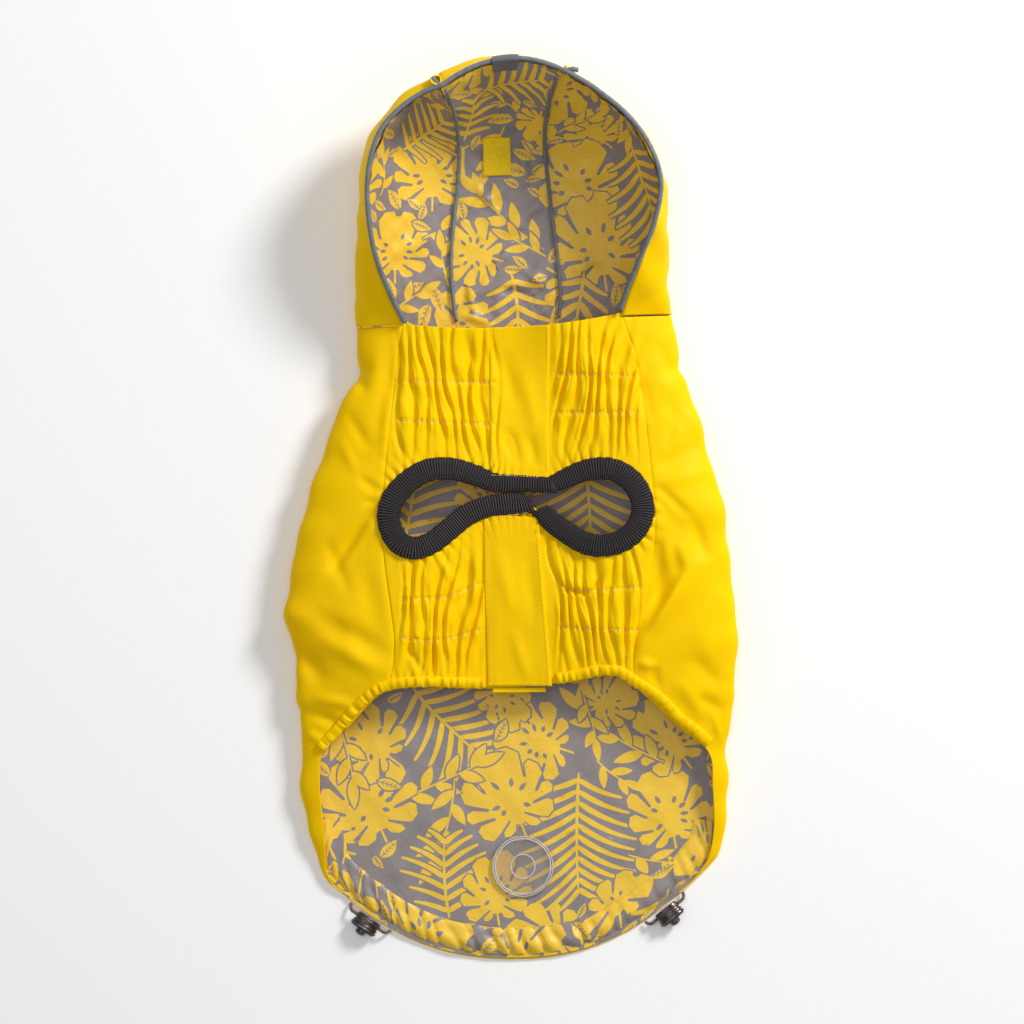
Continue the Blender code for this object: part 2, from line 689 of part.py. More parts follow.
# Rings of a lock's body and plunger, from the hem outwards: distance, half length, half height
LOCK_RINGS = [
    (0.0, 7.4, 3.9), (0.7, 8.5, 4.7), (2.2, 8.5, 4.7), (2.6, 8.0, 4.3), (5.9, 8.0, 4.3),
    (6.3, 8.5, 4.7), (8.1, 8.5, 4.7), (8.8, 7.4, 4.2),
]
PLUNGER_RINGS = [(7.2, 1.0), (10.4, 1.0), (11.4, 0.88), (12.1, 0.62), (12.5, 0.3)]


def lock_place(x):
    """Where a lock meets the hem's edge, and the way out from it."""
    last = BODY[-1]
    slope = section_y(last, x + 0.5) - section_y(last, x - 0.5)
    out = Vector((slope, -1, 0)).normalized()
    return Vector((x, section_y(last, x), 0)), out


def oval(distance, half_long, half_high, count, power):
    ring = []
    for turn in spread(0, 2 * math.pi, count + 1)[:-1]:
        c, s = math.cos(turn), math.sin(turn)
        x = half_long * math.copysign(abs(c) ** power, c)
        z = half_high * math.copysign(abs(s) ** power, s)
        ring.append(Vector((x, distance, z)))
    return ring


def cutter(name, radius, length, centre, turn, target, place):
    """A round cutter that takes a hole out of a lock's body."""
    bpy.ops.mesh.primitive_cylinder_add(vertices=24, radius=radius * MM, depth=length * MM)
    made = bpy.context.active_object
    made.name = name
    made.data.transform(Matrix.Translation(centre * MM) @ turn)
    made.matrix_world = place
    made.hide_render = True
    made.display_type = "WIRE"
    cut = target.modifiers.new(name, "BOOLEAN")
    cut.operation = "DIFFERENCE"
    cut.solver = "EXACT"
    cut.object = made


def build_lock(name, x, gunmetal, brown):
    hem, out = lock_place(x)
    origin = hem + out * LOCK_OFF_HEM + Vector((0, 0, LOCK_HEIGHT))
    place = Matrix.Translation(origin * MM) @ Matrix.Rotation(math.atan2(-out.x, out.y), 4, "Z")
    rings = [oval(distance, long, high, 20, OVAL_POWER) for distance, long, high in LOCK_RINGS]
    body = stack(f"cord_lock_{name}", rings, gunmetal)
    body.matrix_world = place
    bore = Vector((0, BORE_FLOOR + BORE_LENGTH / 2, 0))
    along_plunger, along_cord = (Matrix.Rotation(math.pi / 2, 4, axis) for axis in "XY")
    cutter(f"cut_bore_{name}", BORE_RADIUS, BORE_LENGTH, bore, along_plunger, body, place)
    middle = Vector((0, CORD_DEPTH, 0))
    cutter(f"cut_cord_{name}", CORD_HOLE, THROUGH, middle, along_cord, body, place)
    rings = [oval(d, PLUNGER_RADIUS * share, PLUNGER_RADIUS * share, 20, 1) for d, share in PLUNGER_RINGS]
    stack(f"lock_plunger_{name}", rings, gunmetal).matrix_world = place
    # the elastic cord: out of the channel, through the lock and back in
    halves = []
    for side in (-1, 1):
        half = []
        for angle in spread(0, math.pi / 2, 6):
            away = CORD_STRAIGHT + CORD_TURN * math.cos(angle)
            outwards = CORD_DEPTH - CORD_TURN + CORD_TURN * math.sin(angle)
            half.append(Vector((side * away, outwards, -CORD_DROP * math.cos(angle) ** 1.5)))
        halves.append(half)
    points = halves[0] + [middle] + halves[1][::-1]
    flat = place.copy()
    flat.translation *= 1 / MM
    tube(f"drawcord_{name}", [flat @ point for point in points], CORD_RADIUS, brown)


# --- scene ----------------------------------------------------------------------------------------


def clear_scene():
    for thing in list(bpy.data.objects):
        bpy.data.objects.remove(thing, do_unlink=True)


clear_scene()
coated_yellow = material("coated_yellow", (1.0, 0.70, 0.0), 0.45)
printed_lining = material("printed_lining", (0.62, 0.50, 0.25), 0.5)
black_rib = material("black_rib", (0.02, 0.02, 0.022), 0.8)
grey_piping = material("grey_piping", (0.17, 0.18, 0.20), 0.6)
clear_badge = material("clear_badge", (0.75, 0.70, 0.55), 0.3)
gunmetal = material("gunmetal", (0.06, 0.055, 0.055), 0.3, 0.9)
brown_cord = material("brown_cord", (0.20, 0.14, 0.09), 0.8)

build_body(coated_yellow, printed_lining)
build_fronts(coated_yellow)
build_plackets(coated_yellow)
build_trims(black_rib, coated_yellow)
build_tail(printed_lining, clear_badge)
build_hood(coated_yellow, printed_lining)
build_pipings(grey_piping)
build_hood_extras(coated_yellow, grey_piping)
for side, x in LOCK_X.items():
    build_lock(side, x, gunmetal, brown_cord)
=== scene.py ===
# Hooded dog raincoat laid flat on its back, belly side up: the hood is towards +Y and the tail
# towards -Y. Tables are in millimetres of the frame, and mm turns them into metres.

import math

import bpy
import numpy as np
from mathutils import Matrix, Vector
from mathutils.geometry import delaunay_2d_cdt


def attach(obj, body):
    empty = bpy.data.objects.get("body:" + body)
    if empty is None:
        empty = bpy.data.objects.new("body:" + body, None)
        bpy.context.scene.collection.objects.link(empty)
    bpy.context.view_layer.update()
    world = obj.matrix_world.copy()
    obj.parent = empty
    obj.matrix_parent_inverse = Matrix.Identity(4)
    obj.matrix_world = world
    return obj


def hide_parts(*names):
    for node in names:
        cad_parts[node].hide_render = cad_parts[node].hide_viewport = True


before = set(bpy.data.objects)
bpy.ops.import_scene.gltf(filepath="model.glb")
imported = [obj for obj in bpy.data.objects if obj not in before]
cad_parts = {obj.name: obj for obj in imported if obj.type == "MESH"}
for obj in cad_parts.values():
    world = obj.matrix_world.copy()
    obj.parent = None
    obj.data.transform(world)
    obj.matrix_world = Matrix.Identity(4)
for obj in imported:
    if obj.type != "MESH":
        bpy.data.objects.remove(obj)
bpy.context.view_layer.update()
mm = 0.001
coatBody = "coat"

# the coat's form, as the frame has it

# y, tilt, bow, reach left and right, fold left and right, edge left and right, loft, sag
bodyTable = np.array([
    (112.0, 4, 0, 93.0, 95.5, 33, 28, 65, 65.5, 15.0, 5),
    (95.0, 3, 0, 92.5, 98.5, 42, 40, 68, 72, 14.5, 6),
    (78.0, 2, 0, 95.5, 103, 52, 52, 70, 76, 14.5, 7),
    (58.0, 1, 0, 104.5, 111, 60, 62, 72, 79, 15.0, 8),
    (30.0, 0, 0, 113.5, 118, 66, 70, 75, 82, 15.5, 8),
    (0.0, 0, 0, 124.0, 126.5, 70, 76, 77, 85, 16.0, 8),
    (-30.0, 0, 0, 131.0, 130, 70, 77, 76, 84, 15.5, 8),
    (-60.0, 0, 0, 134.5, 134, 69, 75, 72, 79, 15.0, 8),
    (-82.0, 0, 0, 131.5, 134.4, 66, 69, 70, 73, 14.0, 8),
    (-104.0, 0, 0, 129.0, 133.3, 67, 67, 74, 74, 12.5, 7),
    (-116.0, 0, 0, 129.0, 132, 76, 75, 86, 86, 11.0, 5),
    (-130.0, 0, 0, 127.5, 130.5, 89, 91, 99, 101, 9.5, 3),
    (-145.0, 0, 0, 125.0, 128.5, 102, 106, 114, 118.5, 8.0, 0),
    (-165.0, 0, 0, 127.0, 129.6, 106, 112, 116, 121, 7.0, 0),
    (-190.0, 0, 2, 121.5, 127.8, 104, 110, 114, 122, 5.5, 0),
    (-215.0, 0, 10, 118.0, 123.5, 103, 107, 113, 119.5, 4.0, 0),
    (-238.0, 0, 24, 115.5, 117, 101, 102, 112.5, 114.5, 3.0, 0),
    (-256.0, 0, 33, 110.0, 109.5, 98, 98, 108.5, 108.3, 2.2, 0),
    (-269.7, 0, 40, 102.5, 101, 95, 94, 102.5, 101, 1.5, 0),
])
neckY, tailY = bodyTable[0, 0], bodyTable[-1, 0]
hemPower = 2.3

# step, seam x y z, rim x y z, bulge
hoodLeft = np.array([
    (0, -33.0, 111.0, 0.7, -65.0, 109.7, 28.4, 28.0),
    (1, -35.5, 128.0, 0.7, -74.0, 128.0, 35.0, 20.5),
    (2, -36.5, 150.0, 0.7, -82.0, 150.0, 43.0, 11.0),
    (3, -35.0, 172.0, 0.7, -85.5, 174.0, 49.0, 5.5),
    (4, -32.5, 195.0, 0.7, -85.0, 199.0, 53.0, 2.5),
    (5, -32.0, 213.0, 4.0, -79.0, 221.0, 54.0, 1.5),
    (6, -33.5, 228.0, 16.0, -68.0, 235.5, 54.0, 1.2),
    (7, -36.5, 240.5, 34.0, -54.0, 246.0, 54.0, 1.0),
    (8, -39.5, 247.5, 49.0, -45.0, 250.2, 54.5, 0.8),
    (9, -41.0, 251.0, 55.0, -43.0, 252.0, 55.5, 0.5),
])
hoodRight = np.array([
    (0, 28.0, 113.4, 0.7, 65.5, 114.9, 28.4, 30.0),
    (1, 29.0, 130.0, 0.7, 70.5, 131.5, 36.0, 22.0),
    (2, 27.0, 152.0, 0.7, 78.5, 151.5, 45.0, 15.0),
    (3, 24.5, 172.0, 0.7, 85.0, 170.0, 52.0, 7.5),
    (4, 21.5, 197.0, 0.7, 88.0, 193.0, 56.0, 2.5),
    (5, 20.0, 214.0, 4.0, 82.0, 213.0, 57.0, 1.5),
    (6, 20.5, 230.0, 16.0, 69.5, 231.5, 57.0, 1.2),
    (7, 23.0, 244.5, 34.0, 51.0, 247.5, 56.5, 1.0),
    (8, 26.5, 255.0, 49.0, 34.0, 258.5, 56.0, 0.8),
    (9, 28.5, 260.0, 55.0, 31.0, 260.5, 56.0, 0.5),
])
crownBow = np.array([(0, 0), (4, 0), (6, 6), (8, 9.5), (9, 10.4)], float)

# largest folds of the upper side: from, to, half width, height
bigFolds = [
    (118, -26, 82, -72, 8, 2.6),
    (104, -24, 76, -66, 6, -2.4),
    (-82, -10, -110, -38, 7, -2.0),
    (-128, -84, -110, -110, 8, -2.6),
    (86, 2, 108, -16, 7, -2.0),
    (-96, 88, -84, 60, 7, -1.8),
]


def readTable(rows, at):
    # rows of a table at any values of its first column, on a smooth curve through them
    at = np.asarray(at, float)
    keys = rows[:, 0]
    sign = 1 if keys[-1] > keys[0] else -1
    i = np.clip(np.searchsorted(sign * keys, sign * at, side="right") - 1, 0, len(keys) - 2)
    before, after = np.maximum(i - 1, 0), np.minimum(i + 2, len(keys) - 1)
    a, b = rows[i], rows[i + 1]
    span = b[..., :1] - a[..., :1]
    t = np.clip((at[..., None] - a[..., :1]) / span, 0, 1)
    start = (b - rows[before]) / (b[..., :1] - rows[before][..., :1]) * span
    end = (rows[after] - a) / (rows[after][..., :1] - a[..., :1]) * span
    return (
        a * (2 * t**3 - 3 * t**2 + 1)
        + start * (t**3 - 2 * t**2 + t)
        + b * (3 * t**2 - 2 * t**3)
        + end * (t**3 - t**2)
    )


def sectionAt(y):
    row = readTable(bodyTable, y)
    names = "y tilt bow reachL reachR foldL foldR edgeL edgeR loft sag".split()
    return {name: row[..., k] for k, name in enumerate(names)}


def sideNumbers(section, x):
    left = x < 0
    return tuple(np.where(left, section[n + "L"], section[n + "R"]) for n in ("reach", "fold", "edge"))


def sectionY(section, x):
    reach = sideNumbers(section, x)[0]
    share = np.minimum(np.abs(x) / reach, 1)
    return section["y"] + section["tilt"] * x / 100 + section["bow"] * share**hemPower


def sectionThrough(x, y):
    # the section that passes over a point in plan
    low, high = np.full(np.shape(x), tailY), np.full(np.shape(x), neckY)
    for _ in range(20):
        middle = (low + high) / 2
        under = sectionY(sectionAt(middle), x) < y
        low, high = np.where(under, middle, low), np.where(under, high, middle)
    return sectionAt((low + high) / 2)


def ridge(x, y, x0, y0, x1, y1, width, height):
    # one soft fold: widest and highest in its middle, nothing at its ends
    alongX, alongY = x1 - x0, y1 - y0
    length = math.hypot(alongX, alongY)
    share = ((x - x0) * alongX + (y - y0) * alongY) / length**2
    off = ((x - x0) * alongY - (y - y0) * alongX) / length
    inside = (share > 0) & (share < 1)
    rise = np.sin(math.pi * np.clip(share, 0, 1))
    return np.where(inside, height * rise * np.exp(-((off / width) ** 2)), 0)


def topHeight(x, y):
    section = sectionThrough(x, y)
    reach, fold, _ = sideNumbers(section, x)
    past = (np.abs(x) - fold) / (reach - fold)
    creased = sum(ridge(x, y, *crease) for crease in bigFolds)
    lean = np.sqrt(np.clip(1 - np.clip(past, 0, 1) ** 2, 0, 1))
    flat = 2 * section["loft"] - section["sag"] * (1 - np.minimum(np.abs(x) / fold, 1) ** 2) ** 2
    return np.where(past <= 0, flat + creased, section["loft"] * (1 + lean) + creased * lean)


def floorHeight(x, y):
    section = sectionThrough(x, y)
    reach, fold, _ = sideNumbers(section, x)
    past = np.clip((np.abs(x) - fold) / (reach - fold), 0, 1)
    return section["loft"] * (1 - np.sqrt(1 - past**2))


def smoothStep(low, high, value):
    t = np.clip((value - low) / (high - low), 0, 1)
    return t * t * (3 - 2 * t)


def hoodPoint(rows, step, angle):
    row = readTable(rows, step)
    seam = row[..., 1:4]
    across = np.stack([row[..., 4] - row[..., 1], row[..., 5] - row[..., 2], 0 * row[..., 0]], -1)
    length = np.linalg.norm(across, axis=-1)
    wide = length + row[..., 7]
    last = math.pi - np.arcsin(length / wide)
    high = (row[..., 6] - row[..., 3]) / (1 - np.cos(last))
    turn = angle * last  # angle is a share here: 0 at the seam and 1 at the rim
    point = seam + across / length[..., None] * (wide * np.sin(turn))[..., None]
    point[..., 2] += high * (1 - np.cos(turn))
    return point


def hoodCentrePoint(share, step):
    left, right = readTable(hoodLeft, step)[..., 1:4], readTable(hoodRight, step)[..., 1:4]
    point = left + (right - left) * share[..., None]
    point[..., 1] += readTable(crownBow, step)[..., 1] * (1 - (2 * share - 1) ** 2)
    return point


print("form: body and hood tables read")

# making meshes


def newObject(name, points, faces, materials, slots=None, flatMap=None, smooth=True):
    # one mesh object from points in millimetres; slots and flatMap are per face and per point
    mesh = bpy.data.meshes.new(name)
    points = np.asarray(points, float).reshape(-1, 3)
    counts = np.array([len(face) for face in faces], np.int32) if isinstance(faces, list) else None
    if counts is None:
        counts = np.full(len(faces), faces.shape[1], np.int32)
        corners = faces.reshape(-1).astype(np.int32)
    else:
        corners = np.concatenate([np.asarray(face, np.int32) for face in faces])
    mesh.vertices.add(len(points))
    mesh.vertices.foreach_set("co", (points * mm).astype(np.float32).reshape(-1))
    mesh.loops.add(len(corners))
    mesh.loops.foreach_set("vertex_index", corners)
    mesh.polygons.add(len(counts))
    mesh.polygons.foreach_set("loop_start", np.concatenate([[0], np.cumsum(counts)[:-1]]).astype(np.int32))
    mesh.polygons.foreach_set("loop_total", counts)
    mesh.update(calc_edges=True)
    for finish in materials:
        mesh.materials.append(finish)
    if slots is not None:
        mesh.polygons.foreach_set("material_index", np.asarray(slots, np.int32))
    if flatMap is not None:
        layer = mesh.uv_layers.new(name="flat")
        layer.data.foreach_set("uv", (np.asarray(flatMap)[corners] * mm).astype(np.float32).reshape(-1))
    if smooth:
        mesh.shade_smooth()
    made = bpy.data.objects.new(name, mesh)
    bpy.context.scene.collection.objects.link(made)
    return made


def gridFaces(rows, columns, first=0, turned=False, closed=False):
    r, c = np.meshgrid(np.arange(rows - 1), np.arange(columns if closed else columns - 1), indexing="ij")
    a = r * columns + c
    b = r * columns + (c + 1) % columns
    faces = np.stack([a, b, b + columns, a + columns], -1).reshape(-1, 4) + first
    return faces[:, ::-1] if turned else faces


def gridNormals(grid, facing):
    across, down = np.gradient(grid, axis=1), np.gradient(grid, axis=0)
    normal = np.cross(across, down)
    return facing * normal / np.maximum(np.linalg.norm(normal, axis=-1, keepdims=True), 1e-9)


def flatLengths(grid):
    # the grid's own width and length at each point, measured along the cloth
    across = np.linalg.norm(np.diff(grid, axis=1), axis=-1)
    down = np.linalg.norm(np.diff(grid, axis=0), axis=-1)
    u = np.concatenate([np.zeros((len(grid), 1)), np.cumsum(across, 1)], 1)
    v = np.concatenate([np.zeros((1, grid.shape[1])), np.cumsum(down, 0)], 0)
    return np.stack([u - u[:, -1:] / 2, v], -1)


cuts = {}


def gridCut(grid):
    # the flat width, length and area that a grid of points was cut from, in metres
    across, along = np.diff(grid, axis=1), np.diff(grid, axis=0)
    width = np.linalg.norm(across, axis=-1).sum(1).max()
    length = np.linalg.norm(along, axis=-1).sum(0).max()
    area = np.linalg.norm(np.cross(across[:-1], along[:, :-1]), axis=-1).sum()
    return width * mm, length * mm, area * mm * mm


def clothWall(name, outer, thickness, facing, materials, sides=(0, 0)):
    cuts[name] = gridCut(outer)
    # a closed wall of cloth under a grid of its outer face; sides are the outer and inner materials
    rows, columns = outer.shape[:2]
    inner = outer - gridNormals(outer, facing) * thickness
    half = rows * columns
    turned = facing < 0
    edge = [(0, c) for c in range(columns)] + [(r, columns - 1) for r in range(1, rows)]
    edge += [(rows - 1, c) for c in range(columns - 2, -1, -1)] + [(r, 0) for r in range(rows - 2, 0, -1)]
    loop = np.array([r * columns + c for r, c in edge])
    ahead = np.roll(loop, -1)
    rim = np.stack([ahead, loop, loop + half, ahead + half], -1)
    if turned:
        rim = rim[:, ::-1]
    front, back = gridFaces(rows, columns, 0, turned), gridFaces(rows, columns, half, not turned)
    faces = np.concatenate([front, back, rim])
    slots = np.concatenate([np.full(len(front), sides[0]), np.full(len(back), sides[1]), np.full(len(rim), sides[0])])
    flat = flatLengths(outer).reshape(-1, 2)
    points = np.concatenate([outer.reshape(-1, 3), inner.reshape(-1, 3)])
    return newObject(name, points, faces, materials, slots, np.concatenate([flat, flat]))


def sweep(name, line, ring, materials, up=None, closedEnds=True):
    # a tube along a line; ring is its cross-section in (side, up), one for all or one for each point
    line = np.asarray(line, float)
    tangent = np.gradient(line, axis=0)
    tangent /= np.linalg.norm(tangent, axis=1, keepdims=True)
    if up is None:
        up = np.tile([0, 0, 1.0], (len(line), 1))
    side = np.cross(tangent, up)
    side /= np.linalg.norm(side, axis=1, keepdims=True)
    lift = np.cross(side, tangent)
    ring = np.asarray(ring, float)
    if ring.ndim == 2:
        ring = np.tile(ring, (len(line), 1, 1))
    grid = line[:, None] + side[:, None] * ring[..., :1] + lift[:, None] * ring[..., 1:]
    rows, columns = grid.shape[:2]
    faces = gridFaces(rows, columns, closed=True)
    faceList = [tuple(face) for face in faces]
    if closedEnds:
        faceList.append(tuple(range(columns - 1, -1, -1)))
        faceList.append(tuple(range((rows - 1) * columns, rows * columns)))
    run = np.concatenate([[0], np.cumsum(np.linalg.norm(np.diff(line, axis=0), axis=1))])
    flat = np.stack(np.broadcast_arrays(np.arange(columns)[None] * 1.0, run[:, None]), -1).reshape(-1, 2)
    return newObject(name, grid.reshape(-1, 3), faceList, materials, None, flat)


def circleRing(radius, sides):
    turn = np.arange(sides) / sides * 2 * math.pi
    return np.stack([np.cos(turn), np.sin(turn)], -1) * radius


def smoothLine(points, spacing):
    # an evenly spaced smooth line through points of any number of columns
    points = np.asarray(points, float)
    table = np.concatenate([np.arange(len(points))[:, None], points], 1)
    fine = readTable(table, np.linspace(0, len(points) - 1, 40 * len(points)))[:, 1:]
    run = np.concatenate([[0], np.cumsum(np.linalg.norm(np.diff(fine[:, : min(3, fine.shape[1])], axis=0), axis=1))])
    at = np.linspace(0, run[-1], max(3, int(round(run[-1] / spacing)) + 1))
    return np.stack([np.interp(at, run, fine[:, k]) for k in range(fine.shape[1])], -1)


def nearLine(x, y, line):
    # distance to a line in plan, on which side, and how far along it
    shape = np.shape(x)
    x, y = np.ravel(x), np.ravel(y)
    best, side, along = np.full(len(x), 1e9), np.zeros(len(x)), np.zeros(len(x))
    run = 0.0
    for a, b in zip(line[:-1], line[1:]):
        way = b[:2] - a[:2]
        length = math.hypot(*way)
        share = np.clip(((x - a[0]) * way[0] + (y - a[1]) * way[1]) / length**2, 0, 1)
        offX, offY = x - a[0] - way[0] * share, y - a[1] - way[1] * share
        distance = np.hypot(offX, offY)
        nearer = distance < best
        best = np.where(nearer, distance, best)
        side = np.where(nearer, np.sign(way[0] * offY - way[1] * offX), side)
        along = np.where(nearer, run + share * length, along)
        run += length
    return best.reshape(shape), side.reshape(shape), along.reshape(shape)


# finishes


def newMaterial(name, colour, roughness, metallic=0.0, specular=0.5):
    finish = bpy.data.materials.new(name)
    finish.use_nodes = True
    shader = finish.node_tree.nodes["Principled BSDF"]
    shader.inputs["Base Color"].default_value = (*colour, 1)
    shader.inputs["Roughness"].default_value = roughness
    shader.inputs["Metallic"].default_value = metallic
    shader.inputs["Specular IOR Level"].default_value = specular
    return finish, finish.node_tree.nodes, finish.node_tree.links, shader


def addNode(nodes, kind, **values):
    node = nodes.new(kind)
    for key, value in values.items():
        if key in node.inputs:
            node.inputs[key].default_value = value
        else:
            setattr(node, key, value)
    return node


def objectPlace(nodes, links, scale=(1, 1, 1), turn=0.0, source="Object", uvName=None):
    if uvName:
        place = addNode(nodes, "ShaderNodeUVMap", uv_map=uvName).outputs["UV"]
    else:
        place = nodes.new("ShaderNodeTexCoord").outputs[source]
    mapping = nodes.new("ShaderNodeMapping")
    mapping.inputs["Scale"].default_value = scale
    mapping.inputs["Rotation"].default_value = (0, 0, turn)
    links.new(place, mapping.inputs["Vector"])
    return mapping.outputs["Vector"]


def colourDrift(nodes, links, shader, place, low, high, scale, detail=4.0):
    # slow drift between two close colours
    noise = addNode(nodes, "ShaderNodeTexNoise", Scale=scale, Detail=detail, Roughness=0.55)
    links.new(place, noise.inputs["Vector"])
    ramp = nodes.new("ShaderNodeValToRGB")
    ramp.color_ramp.elements[0].position, ramp.color_ramp.elements[1].position = 0.3, 0.7
    ramp.color_ramp.elements[0].color = (*low, 1)
    ramp.color_ramp.elements[1].color = (*high, 1)
    links.new(noise.outputs["Fac"], ramp.inputs["Fac"])
    links.new(ramp.outputs["Color"], shader.inputs["Base Color"])
    return ramp.outputs["Color"]


def addBump(nodes, links, shader, height, strength, distance, below=None):
    bump = addNode(nodes, "ShaderNodeBump", Strength=strength, Distance=distance)
    links.new(height, bump.inputs["Height"])
    if below is not None:
        links.new(below, bump.inputs["Normal"])
    links.new(bump.outputs["Normal"], shader.inputs["Normal"])
    return bump.outputs["Normal"]


def noiseHeight(nodes, links, place, scale, detail, distortion=0.0):
    noise = addNode(nodes, "ShaderNodeTexNoise", Scale=scale, Detail=detail, Distortion=distortion)
    links.new(place, noise.inputs["Vector"])
    return noise.outputs["Fac"]


def weaveHeight(nodes, links, place, pitch):
    # two crossed sets of threads
    heights = []
    for direction in ("X", "Y"):
        wave = addNode(nodes, "ShaderNodeTexWave", wave_type="BANDS", bands_direction=direction)
        wave.inputs["Scale"].default_value = 0.314 / pitch
        links.new(place, wave.inputs["Vector"])
        heights.append(wave.outputs["Fac"])
    both = addNode(nodes, "ShaderNodeMath", operation="ADD")
    links.new(heights[0], both.inputs[0])
    links.new(heights[1], both.inputs[1])
    return both.outputs[0]


def makeCoatedYellow():
    # smooth water-repellent cloth: an even coat over a very fine weave, with faint rumples
    finish, nodes, links, shader = newMaterial("coatedYellow", (1.0, 0.62, 0.0), 0.46, 0, 0.07)
    place = objectPlace(nodes, links)
    colourDrift(nodes, links, shader, place, (0.98, 0.585, 0.0), (1.0, 0.635, 0.0), 22)
    rumples = noiseHeight(nodes, links, place, 70, 3, 0.4)
    soft = addBump(nodes, links, shader, rumples, 0.10, 0.004)
    weave = weaveHeight(nodes, links, objectPlace(nodes, links, uvName="flat"), 0.0006)
    addBump(nodes, links, shader, weave, 0.06, 0.0002, soft)
    return finish


def makePrint(name, low, high, roughness):
    # smooth lining cloth with small crinkles; the print is in the mesh, one finish for each colour
    finish, nodes, links, shader = newMaterial(name, high, roughness, 0, 0.45)
    place = objectPlace(nodes, links)
    colourDrift(nodes, links, shader, place, low, high, 60)
    crinkles = noiseHeight(nodes, links, place, 120, 4, 0.8)
    soft = addBump(nodes, links, shader, crinkles, 0.18, 0.003)
    weave = weaveHeight(nodes, links, objectPlace(nodes, links, uvName="flat"), 0.0005)
    addBump(nodes, links, shader, weave, 0.08, 0.0002, soft)
    shader.inputs["Sheen Weight"].default_value = 0.08
    return finish


def makeBlackRib():
    # ribbed elastic: the ribs are in the mesh; colour stripes at the rib pitch paint shade into their valleys and a
    # little light onto their tops
    finish, nodes, links, shader = newMaterial("blackRib", (0.022, 0.019, 0.021), 0.66, 0, 0.3)
    place = objectPlace(nodes, links, uvName="flat")
    # painted shade and painted highlight: darker and lighter stripes of colour in step with the ribs of the mesh
    wave = addNode(nodes, "ShaderNodeTexWave", wave_type="BANDS", bands_direction="Y")
    wave.inputs["Scale"].default_value = 0.314 / 0.0015
    links.new(place, wave.inputs["Vector"])
    ramp = nodes.new("ShaderNodeValToRGB")
    ramp.color_ramp.elements[0].position, ramp.color_ramp.elements[1].position = 0.12, 0.85
    ramp.color_ramp.elements[0].color = (0.004, 0.003, 0.004, 1)
    ramp.color_ramp.elements[1].color = (0.055, 0.046, 0.050, 1)
    links.new(wave.outputs["Fac"], ramp.inputs["Fac"])
    links.new(ramp.outputs["Color"], shader.inputs["Base Color"])
    threads = weaveHeight(nodes, links, place, 0.0005)
    addBump(nodes, links, shader, threads, 0.4, 0.0002)
    return finish


def makeGreyPiping(name="greyPiping", low=(0.135, 0.155, 0.18), high=(0.20, 0.225, 0.255)):
    finish, nodes, links, shader = newMaterial(name, high, 0.55, 0, 0.4)
    place = objectPlace(nodes, links)
    colourDrift(nodes, links, shader, place, low, high, 300, 3)
    weave = weaveHeight(nodes, links, place, 0.0007)
    addBump(nodes, links, shader, weave, 0.35, 0.0003)
    shader.inputs["Sheen Weight"].default_value = 0.1
    return finish


def makeThread(name, colour):
    finish, nodes, links, shader = newMaterial(name, colour, 0.6, 0, 0.3)
    place = objectPlace(nodes, links)
    colourDrift(nodes, links, shader, place, tuple(0.8 * c for c in colour), colour, 1500, 2)
    addBump(nodes, links, shader, noiseHeight(nodes, links, place, 3000, 2), 0.4, 0.0002)
    return finish


def makeBadgePlastic(name, low, high, clear):
    # soft clear plastic, a little milky
    finish, nodes, links, shader = newMaterial(name, high, 0.22, 0, 0.4)
    place = objectPlace(nodes, links)
    colourDrift(nodes, links, shader, place, low, high, 80)
    addBump(nodes, links, shader, noiseHeight(nodes, links, place, 500, 3), 0.08, 0.0004)
    shader.inputs["Transmission Weight"].default_value = clear
    shader.inputs["IOR"].default_value = 1.2
    return finish


def makePatchLoop():
    # the soft looped half of a hook-and-loop tape
    finish, nodes, links, shader = newMaterial("patchLoop", (0.93, 0.62, 0.01), 0.85, 0, 0.2)
    place = objectPlace(nodes, links)
    colourDrift(nodes, links, shader, place, (0.93, 0.62, 0.0), (1.0, 0.74, 0.02), 700, 3)
    addBump(nodes, links, shader, noiseHeight(nodes, links, place, 1400, 3, 1.2), 0.8, 0.0006)
    shader.inputs["Sheen Weight"].default_value = 0.3
    return finish


def makeGunmetal():
    finish, nodes, links, shader = newMaterial("gunmetal", (0.12, 0.105, 0.10), 0.24, 0.85)
    place = objectPlace(nodes, links)
    colourDrift(nodes, links, shader, place, (0.05, 0.042, 0.042), (0.19, 0.165, 0.15), 260)
    addBump(nodes, links, shader, noiseHeight(nodes, links, place, 900, 3), 0.08, 0.0004)
    return finish


def makeCord():
    finish, nodes, links, shader = newMaterial("brownCord", (0.20, 0.145, 0.10), 0.75)
    place = objectPlace(nodes, links, turn=0.7)
    colourDrift(nodes, links, shader, place, (0.12, 0.085, 0.06), (0.26, 0.195, 0.135), 1400, 2)
    addBump(nodes, links, shader, weaveHeight(nodes, links, place, 0.0008), 0.6, 0.0004)
    return finish


yellow = makeCoatedYellow()
printGrey = makePrint("printGrey", (0.245, 0.212, 0.208), (0.30, 0.26, 0.258), 0.40)
printYellow = makePrint("printYellow", (0.88, 0.55, 0.03), (0.94, 0.60, 0.045), 0.40)
blackRib = makeBlackRib()
greyPiping = makeGreyPiping()
labelGrey = makeGreyPiping("labelGrey", (0.125, 0.13, 0.14), (0.165, 0.17, 0.185))
paleThread = makeThread("paleThread", (0.86, 0.72, 0.30))
yellowThread = makeThread("yellowThread", (0.93, 0.66, 0.05))
badgePlastic = makeBadgePlastic("clearBadge", (0.90, 0.87, 0.82), (0.97, 0.95, 0.91), 0.92)
badgeRaised = makeBadgePlastic("badgeRaised", (0.70, 0.66, 0.62), (0.86, 0.82, 0.78), 0.15)
gunmetal = makeGunmetal()
brownCord = makeCord()
print("finishes made")

patchLoop = makePatchLoop()
greyThread = makeThread("greyThread", (0.30, 0.28, 0.29))


